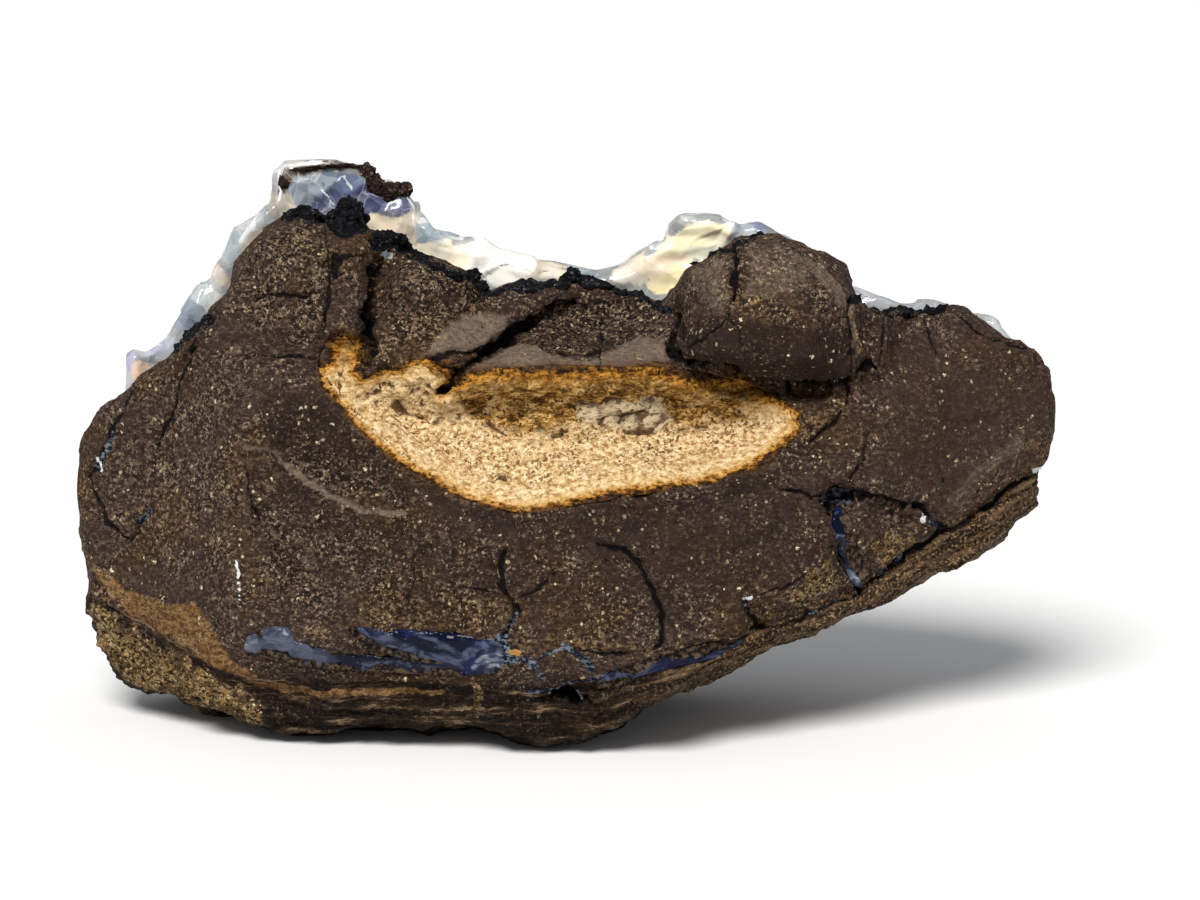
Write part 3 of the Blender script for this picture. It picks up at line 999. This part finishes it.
def vein_marks(node, view):
    """Where each vein is lavender, veiled, glinting or grown over with stone."""
    across, down = view.T
    marks = {name: np.zeros(len(view)) for name in ("lens", "veil", "curl", "deep", "stone")}
    if node == "wedge_opal_vein":
        inside = np.max([depth_within(view, shape) for shape in (LENS, THREAD, WEDGE)], axis=0)
        marks["stone"] = smooth(0.8, -1.6, inside)
        marks["lens"] = smooth(340, 326, across)
        marks["deep"] = smooth(328, 342, across) * smooth(1.5, -0.5, depth_within(view, WEDGE))
        marks["veil"] = most(VEILS, view)
        marks["curl"] = most(CURLS, view)
    elif node == "ledge_opal_vein":
        away, _ = path_distance(view, LEDGE_THREAD)
        wide = np.interp(across, [560, 640, 660, 690, 712, 760], [1.5, 2.5, 6.5, 6.0, 3.0, 2.0])
        marks["stone"] = smooth(0.8, 1.4, away / wide)
        marks["veil"] = smooth(660, 640, across) * 0.8 + smooth(700, 712, across) * 0.8
    else:
        away, _ = path_distance(view, CRACK_THREAD)
        marks["stone"] = smooth(3.2, 5.4, away)
        marks["veil"] = smooth(3.0, 1.0, np.abs(down - 536)) + 0.6 * smooth(562, 580, down)
        marks["curl"] = 0.6 * smooth(566, 580, down)
    return marks


def dress_crust(material):
    points, triangles = cad_mesh("opal_crust")

    def spacing(middle):
        view = seen(on_face(middle))
        shown = smooth(8, -8, view[:, 1] - np.interp(view[:, 0], *zip(*SKYLINE)) - 12)
        return 0.95 + (CRUST_SPACING - 0.95) * shown

    points, triangles = refined(points, triangles, spacing)
    points = relaxed(points, triangles, 1, 0.4)
    normals = normals_of(points, triangles)
    face = on_face(points)
    view = seen(face)
    behind = smooth(0.1, -0.5, normals @ PROUD)
    far = smooth(-0.45, -0.9, normals @ PROUD)
    relief = (0.50 + 0.50 * far) * facets(face, 6.5, 151) + 0.09 * facets(face, 2.4, 153) - 0.35 * behind
    relief -= 0.8 * smooth(880, 915, view[:, 0]) * smooth(1000, 970, view[:, 0])
    for half, high, path in CRESTS.values():
        here = near(view, path, half * PER_MM)
        away, _ = path_distance(view[here], path)
        relief[here] += 1.1 * high * np.clip(1 - away / (half * PER_MM), 0, 1)
    flash = most(FLASHES, view + np.stack([rough(face, 1.6, seed, 2) for seed in (155, 157)], axis=1) * 2)
    points = kept_inside(points + normals * relief[:, None] * MM)
    bend = np.stack([facets(face, 2.4, 161), facets(face, 2.4, 163)], axis=1) * 6
    close = np.full((len(points), len(OPAL_TINTS) + 1), -5.5)
    for number, ((u, v), reach, _, _) in enumerate(OPAL_TINTS.values()):
        close[:, number] = -3.0 * (((view + bend - (u, v)) / reach) ** 2).sum(axis=1)
    close[:, :-1] -= 6.0 * behind[:, None]
    share = np.exp(5 * (close - close.max(axis=1)[:, None]))
    tints = np.array([(*colour, clear) for _, _, colour, clear in OPAL_TINTS.values()] + [BACK_TINT])
    tint = share @ tints / share.sum(axis=1)[:, None]
    plain = share[:, -1] / share.sum(axis=1)
    for size, seed, colour in BACK_CLOUDS:
        here = 0.8 * plain * smooth(0.0, 0.6, rough(face, size, seed, 3))
        tint += here[:, None] * (np.array(colour) - tint)
    shade = 1.10 + 0.12 * facets(face, 2.8, 165)
    values = {"tint": tint[:, :3] * shade[:, None].clip(0.6, 1.4), "clear": tint[:, 3], "flash": flash}
    add_piece("crystal_crust", points, triangles, values, material, "opal_crust")
    return points, normals


# --- materials -----------------------------------------------------------------------------------


class Shader:
    """A material under construction, with short ways to add nodes. Positions are in millimetres."""

    def __init__(self, name):
        self.material = bpy.data.materials.new(name)
        self.material.use_nodes = True
        self.tree = self.material.node_tree
        self.surface = self.tree.nodes["Principled BSDF"]
        self.output = self.tree.nodes["Material Output"]
        where = self.tree.nodes.new("ShaderNodeTexCoord")
        self.at = self.vector("SCALE", where.outputs["Object"], scale=1 / MM)

    def link(self, source, socket):
        self.tree.links.new(source, socket)

    def put(self, socket, value):
        if isinstance(value, bpy.types.NodeSocket):
            self.link(value, socket)
        else:
            socket.default_value = (*value, 1.0) if isinstance(value, tuple) and len(socket.default_value) == 4 else value

    def vector(self, operation, first, second=None, scale=None):
        node = self.tree.nodes.new("ShaderNodeVectorMath")
        node.operation = operation
        self.put(node.inputs[0], first)
        if second is not None:
            self.put(node.inputs[1], second)
        if scale is not None:
            node.inputs["Scale"].default_value = scale
        return node.outputs["Vector"]

    def math(self, operation, *values, clamp=False):
        node = self.tree.nodes.new("ShaderNodeMath")
        node.operation = operation
        node.use_clamp = clamp
        for socket, value in zip(node.inputs, values):
            self.put(socket, value)
        return node.outputs[0]

    def value(self, name):
        node = self.tree.nodes.new("ShaderNodeAttribute")
        node.attribute_name = name
        return node.outputs["Fac"]

    def colour(self, name):
        node = self.tree.nodes.new("ShaderNodeAttribute")
        node.attribute_name = name
        return node.outputs["Vector"]

    def noise(self, size, detail=3.0, roughness=0.6, at=None, distortion=0.0):
        node = self.tree.nodes.new("ShaderNodeTexNoise")
        self.put(node.inputs["Vector"], at or self.at)
        node.inputs["Scale"].default_value = 1 / size
        node.inputs["Detail"].default_value = detail
        node.inputs["Roughness"].default_value = roughness
        node.inputs["Distortion"].default_value = distortion
        return node.outputs["Fac"]

    def voronoi(self, size, feature="F1", at=None):
        node = self.tree.nodes.new("ShaderNodeTexVoronoi")
        node.feature = feature
        self.put(node.inputs["Vector"], at or self.at)
        node.inputs["Scale"].default_value = 1 / size
        return node

    def step(self, value, low, high, to_low=0.0, to_high=1.0):
        """The value spread smoothly from low..high to to_low..to_high."""
        node = self.tree.nodes.new("ShaderNodeMapRange")
        node.interpolation_type = "SMOOTHSTEP"
        for socket, given in zip(node.inputs, (value, low, high, to_low, to_high)):
            self.put(socket, given)
        return node.outputs["Result"]

    def mix(self, share, first, second, blend="MIX"):
        node = self.tree.nodes.new("ShaderNodeMix")
        node.data_type = "RGBA"
        node.blend_type = blend
        self.put(node.inputs["Factor"], share)
        self.put(node.inputs[6], first)
        self.put(node.inputs[7], second)
        return node.outputs[2]

    def bump(self, height, depth, strength=1.0, below=None):
        node = self.tree.nodes.new("ShaderNodeBump")
        node.inputs["Strength"].default_value = strength
        node.inputs["Distance"].default_value = depth * MM
        self.put(node.inputs["Height"], height)
        if below is not None:
            self.link(below, node.inputs["Normal"])
        return node.outputs["Normal"]

    def scattered(self, size, radius, share, ragged=0.0):
        """Specks: 1 inside one of them, about `size` apart, where only a share of the places has one."""
        at = self.at
        if ragged:
            node = self.tree.nodes.new("ShaderNodeTexNoise")
            self.put(node.inputs["Vector"], self.at)
            node.inputs["Scale"].default_value = 2.5 / size
            at = self.vector("ADD", self.at, self.vector("SCALE", node.outputs["Color"], scale=ragged * size))
        spots = self.voronoi(size, at=at)
        split = self.tree.nodes.new("ShaderNodeSeparateColor")
        self.link(spots.outputs["Color"], split.inputs[0])
        reach = self.math("MULTIPLY", radius, self.math("ADD", 0.5, split.outputs[1]))
        chosen = self.math("LESS_THAN", split.outputs[0], share)
        within = self.step(self.math("SUBTRACT", reach, spots.outputs["Distance"]), 0.0, 0.12)
        return self.math("MULTIPLY", chosen, within), split.outputs[2]


def stone_material(name):
    s = Shader(name)
    fine = s.noise(0.62, 3, 0.72, at=s.vector("MULTIPLY", s.at, (0.8, 1.0, 1.25)))
    tiny = s.noise(0.40, 2, 0.6)
    grain = s.noise(1.5, 4, 0.75)
    ragged = s.math("SUBTRACT", grain, 0.5)
    patch = s.noise(4.6, 5, 0.75)
    broad = s.noise(12.0, 4, 0.6)

    # Dark ironstone, purplish and brown by turns, lighter where it is grazed smooth.
    calm = s.value("calm")
    clumps = s.step(patch, 0.42, 0.62, 0.35, 1.0)
    clumps = s.math("MULTIPLY", clumps, s.math("SUBTRACT", 1.0, s.math("MULTIPLY", calm, 0.65)))
    light = s.math("MULTIPLY", s.step(fine, 0.50, 0.66), clumps)
    deep = s.math("MULTIPLY", s.step(fine, 0.47, 0.38, 0.0, 0.95), clumps)
    rock = s.mix(light, (0.0385, 0.0232, 0.0182), (0.172, 0.112, 0.080))
    brown = s.mix(light, (0.0450, 0.0238, 0.0118), (0.205, 0.120, 0.055))
    browner = s.math("MULTIPLY", s.step(broad, 0.46, 0.58, 0.0, 0.85), s.math("SUBTRACT", 1.0, s.math("MULTIPLY", calm, 0.75)))
    rock = s.mix(browner, rock, brown)
    rock = s.mix(deep, rock, (0.0075, 0.0045, 0.0036))
    rock = s.mix(s.math("MULTIPLY", s.value("dusk"), 0.66), rock, (0.0150, 0.0078, 0.0060))
    coarse = s.mix(s.step(fine, 0.49, 0.60), (0.0050, 0.0030, 0.0022), (0.160, 0.102, 0.062))
    coarse = s.mix(s.step(tiny, 0.57, 0.63), coarse, (0.400, 0.310, 0.205))
    grainy = s.math("MULTIPLY", s.value("grainy"), s.step(patch, 0.36, 0.50), clamp=True)
    rock = s.mix(s.math("MULTIPLY", grainy, 0.85), rock, coarse)
    smooth_rock = s.mix(s.step(fine, 0.30, 0.72), (0.100, 0.070, 0.052), (0.205, 0.148, 0.108))
    pale = s.step(s.math("ADD", s.value("pale"), s.math("MULTIPLY", ragged, 0.9)), 0.25, 0.95)
    rock = s.mix(pale, rock, smooth_rock)
    limonite = s.mix(s.step(fine, 0.42, 0.58), (0.022, 0.012, 0.005), (0.300, 0.180, 0.066))
    limonite = s.mix(s.step(tiny, 0.56, 0.63), limonite, (0.640, 0.480, 0.230))
    limonite = s.mix(s.step(patch, 0.52, 0.42, 0.0, 0.75), limonite, (0.022, 0.012, 0.006))
    yellow = s.step(s.math("ADD", s.value("ochre"), s.math("MULTIPLY", ragged, 1.8)), 0.25, 1.05, 0.0, 0.8)
    rock = s.mix(yellow, rock, limonite)

    # The bedded base: dark layers parted by fine pale lines.
    below = s.value("below")
    bed = s.tree.nodes.new("ShaderNodeCombineXYZ")
    s.link(s.math("MULTIPLY", s.value("across"), 0.011), bed.inputs[0])
    s.link(s.math("ADD", below, s.math("MULTIPLY", ragged, 0.8)), bed.inputs[2])
    layers = s.noise(0.9, 4, 0.75, at=bed.outputs[0])
    bedded = s.mix(s.step(layers, 0.48, 0.60), (0.0050, 0.0030, 0.0020), (0.046, 0.027, 0.014))
    bedded = s.mix(s.step(layers, 0.58, 0.63), bedded, (0.215, 0.145, 0.084))
    rusty = s.mix(s.step(layers, 0.44, 0.58), (0.018, 0.010, 0.006), (0.140, 0.084, 0.046))
    rusty = s.mix(s.step(fine, 0.47, 0.38, 0.0, 0.8), rusty, (0.014, 0.008, 0.005))
    rusty = s.mix(s.step(tiny, 0.55, 0.63), rusty, (0.290, 0.190, 0.095))
    bedded = s.mix(s.step(s.value("across"), 560, 800, 0.0, 0.9), bedded, rusty)
    in_base = s.step(s.math("ADD", below, s.math("MULTIPLY", ragged, 1.2)), -0.2, 0.5)
    in_base = s.math("MULTIPLY", in_base, s.step(yellow, 0.5, 0.1))
    rock = s.mix(s.math("MULTIPLY", in_base, 0.9), rock, bedded)
    tan_rock = s.mix(s.step(fine, 0.38, 0.66), (0.070, 0.036, 0.014), (0.240, 0.130, 0.052))
    tan = s.step(s.math("ADD", s.value("tan"), s.math("MULTIPLY", ragged, 1.3)), 0.30, 0.85)
    rock = s.mix(tan, rock, tan_rock)

    # Sand grains in it, from dust to half a millimetre, thicker in some places than others.
    many = s.step(patch, 0.44, 0.60, 0.15, 1.0)
    many = s.math("MULTIPLY", many, s.math("SUBTRACT", 1.0, s.math("MULTIPLY", in_base, 0.75)))
    few = s.math("SUBTRACT", 1.0, s.math("MULTIPLY", calm, 0.8))
    dust = s.math("MULTIPLY", s.step(tiny, 0.58, 0.66), s.math("MULTIPLY", many, few))
    rock = s.mix(dust, rock, (0.280, 0.212, 0.130))
    specks, shade = s.scattered(0.95, 0.22, 0.30, 0.60)
    speck_colour = s.mix(s.step(shade, 0.2, 1.0), (0.150, 0.112, 0.058), (0.60, 0.50, 0.29))
    rock = s.mix(s.math("MULTIPLY", specks, many), rock, speck_colour)
    dots, tone = s.scattered(0.60, 0.30, 0.25, 0.55)
    rock = s.mix(s.math("MULTIPLY", dots, many), rock, s.mix(tone, (0.110, 0.085, 0.055), (0.36, 0.30, 0.19)))
    crumbs, hue = s.scattered(1.12, 0.170, 0.80, 0.75)
    crumbs = s.math("MULTIPLY", crumbs, s.step(s.noise(6.0, 4, 0.65), 0.44, 0.52))
    crumbs = s.math("MULTIPLY", crumbs, s.step(in_base, 0.6, 0.3))
    rock = s.mix(crumbs, rock, s.mix(hue, (0.270, 0.212, 0.110), (0.70, 0.61, 0.38)))

    # The sandy core and its rusty rim.
    sand = s.value("sand")
    uneven = s.math("ADD", s.math("MULTIPLY", ragged, 7.0), s.math("MULTIPLY", s.math("SUBTRACT", fine, 0.5), 7.0))
    wall = s.value("wall")
    rim = s.math("MULTIPLY", s.math("ADD", sand, uneven), s.step(wall, 0.0, 1.0, 1.5, 0.75))
    cream = s.mix(s.step(fine, 0.36, 0.48), (0.330, 0.170, 0.060), (0.620, 0.425, 0.200))
    cream = s.mix(s.step(fine, 0.49, 0.60), cream, (0.860, 0.680, 0.415))
    pores = s.math("MULTIPLY", s.step(tiny, 0.47, 0.41), s.step(patch, 0.38, 0.54, 0.20, 1.0))
    pores = s.math("MULTIPLY", pores, s.step(sand, 12.0, 30.0, 0.15, 1.0))
    cream = s.mix(pores, cream, (0.170, 0.080, 0.028))
    cream = s.mix(s.step(patch, 0.58, 0.68, 0.0, 0.45), cream, (0.56, 0.35, 0.15))
    streaks = s.noise(0.8, 5, 0.85, at=s.vector("MULTIPLY", s.at, (0.42, 0.6, 1.0)))
    rust = s.mix(s.step(streaks, 0.43, 0.49), (0.026, 0.010, 0.002), (0.290, 0.136, 0.022))
    rust = s.mix(s.step(streaks, 0.53, 0.58), rust, (0.62, 0.420, 0.165))
    rust = s.mix(s.step(tiny, 0.43, 0.38), rust, (0.040, 0.016, 0.004))
    sandy = s.mix(s.math("MULTIPLY", wall, s.step(patch, 0.64, 0.54, 0.35, 0.98)), cream, rust)
    chalky = s.mix(s.step(fine, 0.36, 0.50), (0.130, 0.078, 0.036), (0.550, 0.430, 0.265))
    chalk = s.math("ADD", s.value("chalk"), s.math("MULTIPLY", ragged, 0.8))
    sandy = s.mix(s.step(chalk, 0.30, 0.60, 0.0, 0.95), sandy, chalky)
    orange = s.mix(s.step(fine, 0.40, 0.58), (0.130, 0.050, 0.008), (0.530, 0.240, 0.036))
    warm = s.math("MULTIPLY", s.step(rim, 20.0, 6.0, 0.0, 0.55), s.math("SUBTRACT", 1.0, s.math("MULTIPLY", wall, 0.8)))
    sandy = s.mix(warm, sandy, (0.620, 0.350, 0.085))
    sandy = s.mix(s.step(rim, 10.0, 2.0), sandy, orange)
    halo = s.mix(s.step(fine, 0.40, 0.58), (0.016, 0.007, 0.003), (0.105, 0.045, 0.010))
    stained = s.mix(s.step(rim, -10.0, -1.0), rock, halo)
    base = s.mix(s.step(rim, -2.0, 2.0), stained, sandy)

    # Cracks, the black crust, opal in the cracks and glints.
    crust = s.step(s.math("ADD", s.value("black"), s.math("MULTIPLY", ragged, 1.3)), 0.35, 0.60)
    black = s.mix(s.step(fine, 0.50, 0.68), (0.0040, 0.0042, 0.0055), (0.026, 0.026, 0.030))
    black = s.mix(s.math("MULTIPLY", s.step(tiny, 0.60, 0.65), s.step(patch, 0.50, 0.60)), black, (0.110, 0.120, 0.130))
    base = s.mix(crust, base, black)
    dark = s.step(s.math("ADD", s.value("dark"), s.math("MULTIPLY", ragged, 1.0)), 0.40, 0.85)
    within = s.step(sand, 4.0, 12.0)
    cleft = s.mix(s.step(s.value("dark"), 0.93, 0.99), (0.075, 0.034, 0.012), (0.010, 0.005, 0.003))
    gap = s.mix(within, (0.0035, 0.0030, 0.0038), cleft)
    base = s.mix(s.math("MULTIPLY", dark, 0.92), base, gap)
    opal = s.step(s.math("ADD", s.value("opal"), s.math("MULTIPLY", ragged, 1.4)), 0.45, 0.70)
    base = s.mix(opal, base, s.mix(s.step(fine, 0.46, 0.60), (0.005, 0.007, 0.016), (0.150, 0.178, 0.210)))
    base = s.mix(s.step(s.value("fleck"), 0.4, 0.6), base, (0.45, 0.22, 0.06))
    glint = s.step(s.math("ADD", s.value("glint"), ragged), 0.40, 0.60)
    base = s.mix(glint, base, (0.62, 0.66, 0.66))
    s.link(base, s.surface.inputs["Base Color"])

    shine = s.math("MAXIMUM", opal, glint)
    matt = s.step(fine, 0.36, 0.64, 0.88, 0.62)
    matt = s.math("SUBTRACT", matt, s.math("MULTIPLY", pale, 0.12))
    s.link(s.mix(shine, matt, (0.15, 0.15, 0.15)), s.surface.inputs["Roughness"])
    s.surface.inputs["Specular IOR Level"].default_value = 0.08
    heights = s.math("ADD", fine, s.math("MULTIPLY", grain, 1.4))
    heights = s.math("ADD", heights, s.math("MULTIPLY", specks, 0.25))
    s.link(s.bump(heights, 0.42, 1.0), s.surface.inputs["Normal"])
    return s.material


def crystal_material():
    s = Shader("crystal_opal_dressed")
    tint = s.colour("tint")
    mist = s.noise(4.5, 3, 0.55, distortion=0.6)
    glassy = s.step(s.value("clear"), 0.03, 0.20, 0.30, 1.0)
    tint = s.mix(s.step(mist, 0.48, 0.62, 0.0, 0.20), tint, (0.80, 0.82, 0.80))
    # Breaks of different tone, parted by fine pale lines where cracks in it have healed.
    bent = s.tree.nodes.new("ShaderNodeTexNoise")
    s.link(s.at, bent.inputs["Vector"])
    bent.inputs["Scale"].default_value = 1 / 5.0
    at = s.vector("ADD", s.at, s.vector("SCALE", bent.outputs["Color"], scale=2.6))
    for size, share in ((4.6, 0.8), (2.1, 0.7)):
        tone = s.tree.nodes.new("ShaderNodeSeparateColor")
        s.link(s.voronoi(size, at=at).outputs["Color"], tone.inputs[0])
        darker = s.math("MULTIPLY", s.step(tone.outputs[0], 0.38, 0.30, 0.0, share), glassy)
        tint = s.mix(darker, tint, (0.74, 0.76, 0.80), "MULTIPLY")
        paler = s.math("MULTIPLY", s.step(tone.outputs[0], 0.62, 0.70, 0.0, 0.22 * share), glassy)
        tint = s.mix(paler, tint, (0.95, 0.92, 0.84))
        edge = s.voronoi(size, "DISTANCE_TO_EDGE", at=at).outputs["Distance"]
        lines = s.math("MULTIPLY", s.step(edge, 0.026, 0.008), s.step(s.noise(5.0, 2), 0.47, 0.58, 0.0, 0.45 * share))
        tint = s.mix(lines, tint, (0.90, 0.92, 0.95))
    flash = s.step(s.value("flash"), 0.45, 0.75)
    tint = s.mix(flash, tint, (0.95, 0.96, 0.97))
    s.link(tint, s.surface.inputs["Base Color"])
    s.link(s.math("MULTIPLY", s.value("clear"), s.step(mist, 0.40, 0.60, 1.15, 0.85), clamp=True), s.surface.inputs["Transmission Weight"])
    s.surface.inputs["Roughness"].default_value = 0.10
    s.surface.inputs["IOR"].default_value = 1.45
    s.link(s.bump(s.noise(2.2, 2, 0.4), 0.07, 0.5), s.surface.inputs["Normal"])
    absorb = s.tree.nodes.new("ShaderNodeVolumeAbsorption")
    absorb.inputs["Color"].default_value = (0.72, 0.80, 0.90, 1.0)
    absorb.inputs["Density"].default_value = 30.0
    s.link(absorb.outputs["Volume"], s.output.inputs["Volume"])
    return s.material


def vein_material():
    s = Shader("blue_opal_dressed")
    slanted = s.vector("MULTIPLY", s.at, (0.55, 0.8, 1.0))
    streak = s.noise(1.8, 4, 0.55, at=slanted, distortion=1.4)
    cloud = s.noise(4.0, 3, 0.5)
    fine = s.noise(0.62, 3, 0.7)
    base = s.mix(s.step(cloud, 0.42, 0.60), (0.0024, 0.0036, 0.0150), (0.0085, 0.0150, 0.0600))
    lavender = s.mix(s.step(streak, 0.36, 0.62), (0.030, 0.034, 0.054), (0.078, 0.088, 0.128))
    base = s.mix(s.math("MULTIPLY", s.value("deep"), 0.75), base, (0.0040, 0.0040, 0.0060))
    base = s.mix(s.value("lens"), base, lavender)
    veil = s.math("MULTIPLY", s.value("veil"), s.step(streak, 0.40, 0.58, 0.15, 1.0), clamp=True)
    base = s.mix(s.math("MULTIPLY", veil, 0.7), base, (0.100, 0.118, 0.190))
    curls = s.math("MULTIPLY", s.step(streak, 0.40, 0.52, 0.2, 1.0), s.value("curl"))
    base = s.mix(curls, base, s.mix(s.step(streak, 0.56, 0.64), (0.16, 0.19, 0.24), (0.44, 0.48, 0.50)))
    sparks = s.math("MULTIPLY", s.step(fine, 0.66, 0.72), 0.7)
    base = s.mix(sparks, base, (0.20, 0.24, 0.32))
    stone = s.step(s.math("ADD", s.value("stone"), s.math("MULTIPLY", s.math("SUBTRACT", fine, 0.5), 0.8)), 0.40, 0.60)
    ground = s.mix(s.step(fine, 0.44, 0.60), (0.0060, 0.0042, 0.0038), (0.095, 0.060, 0.038))
    base = s.mix(stone, base, ground)
    s.link(base, s.surface.inputs["Base Color"])
    s.link(s.mix(stone, (0.14, 0.14, 0.14), (0.8, 0.8, 0.8)), s.surface.inputs["Roughness"])
    s.surface.inputs["Specular IOR Level"].default_value = 0.14
    s.link(s.bump(s.noise(1.6, 3, 0.5), 0.07, 0.7), s.surface.inputs["Normal"])
    return s.material


# --- stage ---------------------------------------------------------------------------------------


def add_stage():
    floor = bpy.data.meshes.new("floor")
    reach = 8.0
    floor.from_pydata([(-reach, -reach, 0), (reach, -reach, 0), (reach, reach, 0), (-reach, reach, 0)], [], [(0, 1, 2, 3)])
    s = Shader("pale_floor")
    s.surface.inputs["Base Color"].default_value = (0.86, 0.86, 0.86, 1.0)
    s.surface.inputs["Roughness"].default_value = 0.95
    s.surface.inputs["Specular IOR Level"].default_value = 0.0
    floor.materials.append(s.material)
    obj = bpy.data.objects.new("floor", floor)
    bpy.context.scene.collection.objects.link(obj)


def add_lights():
    world = bpy.data.worlds.new("studio")
    world.use_nodes = True
    world.node_tree.nodes["Background"].inputs["Color"].default_value = (0.95, 0.97, 1.0, 1.0)
    world.node_tree.nodes["Background"].inputs["Strength"].default_value = 0.34
    bpy.context.scene.world = world
    light = bpy.data.lights.new("key", "SUN")
    light.energy = 3.7
    light.angle = math.radians(26)
    light.color = (1.0, 0.985, 0.96)
    obj = bpy.data.objects.new("key", light)
    bpy.context.scene.collection.objects.link(obj)
    obj.rotation_euler = aimed((-0.22, -0.75, 0.95))


def aimed(place):
    """The turn of a light that shines from the given side towards the middle."""
    flat = math.hypot(place[0], place[1])
    return (math.atan2(flat, place[2]), 0.0, math.atan2(place[0], -place[1]) + 0.0)


def add_camera():
    camera = bpy.data.cameras.new("view")
    camera.sensor_fit = "HORIZONTAL"
    camera.sensor_width = 36.0
    camera.lens = 36.0 * VIEW_DISTANCE / VIEW_WIDTH
    obj = bpy.data.objects.new("view", camera)
    bpy.context.scene.collection.objects.link(obj)
    obj.location = from_face([(*VIEW_CENTRE, VIEW_DISTANCE)])[0]
    obj.rotation_euler = (math.pi / 2 - LEAN, 0.0, 0.0)
    bpy.context.scene.camera = obj


def main():
    stone = stone_material("ironstone_dressed")
    points, normals = dress_stone(stone)
    add_knobs("ridge_knobs", NODULES, points, normals, stone, "ironstone_matrix", 1.0)
    add_knobs("foot_lumps", FOOT_LUMPS, points, normals, stone, "ironstone_matrix", 0.0)
    dress_core(stone_material("sandstone_dressed"))
    vein = vein_material()
    for node, name in (
        ("wedge_opal_vein", "wedge_vein"),
        ("ledge_opal_vein", "ledge_vein"),
        ("crack_opal_vein", "crack_vein"),
    ):
        dress_vein(node, name, vein)
    points, normals = dress_crust(crystal_material())
    add_knobs("cap_rock", CAP_ROCK, points, normals, stone, "opal_crust", 0.0)
    add_stage()
    add_lights()
    add_camera()
    bpy.context.scene.view_settings.view_transform = "Standard"


main()
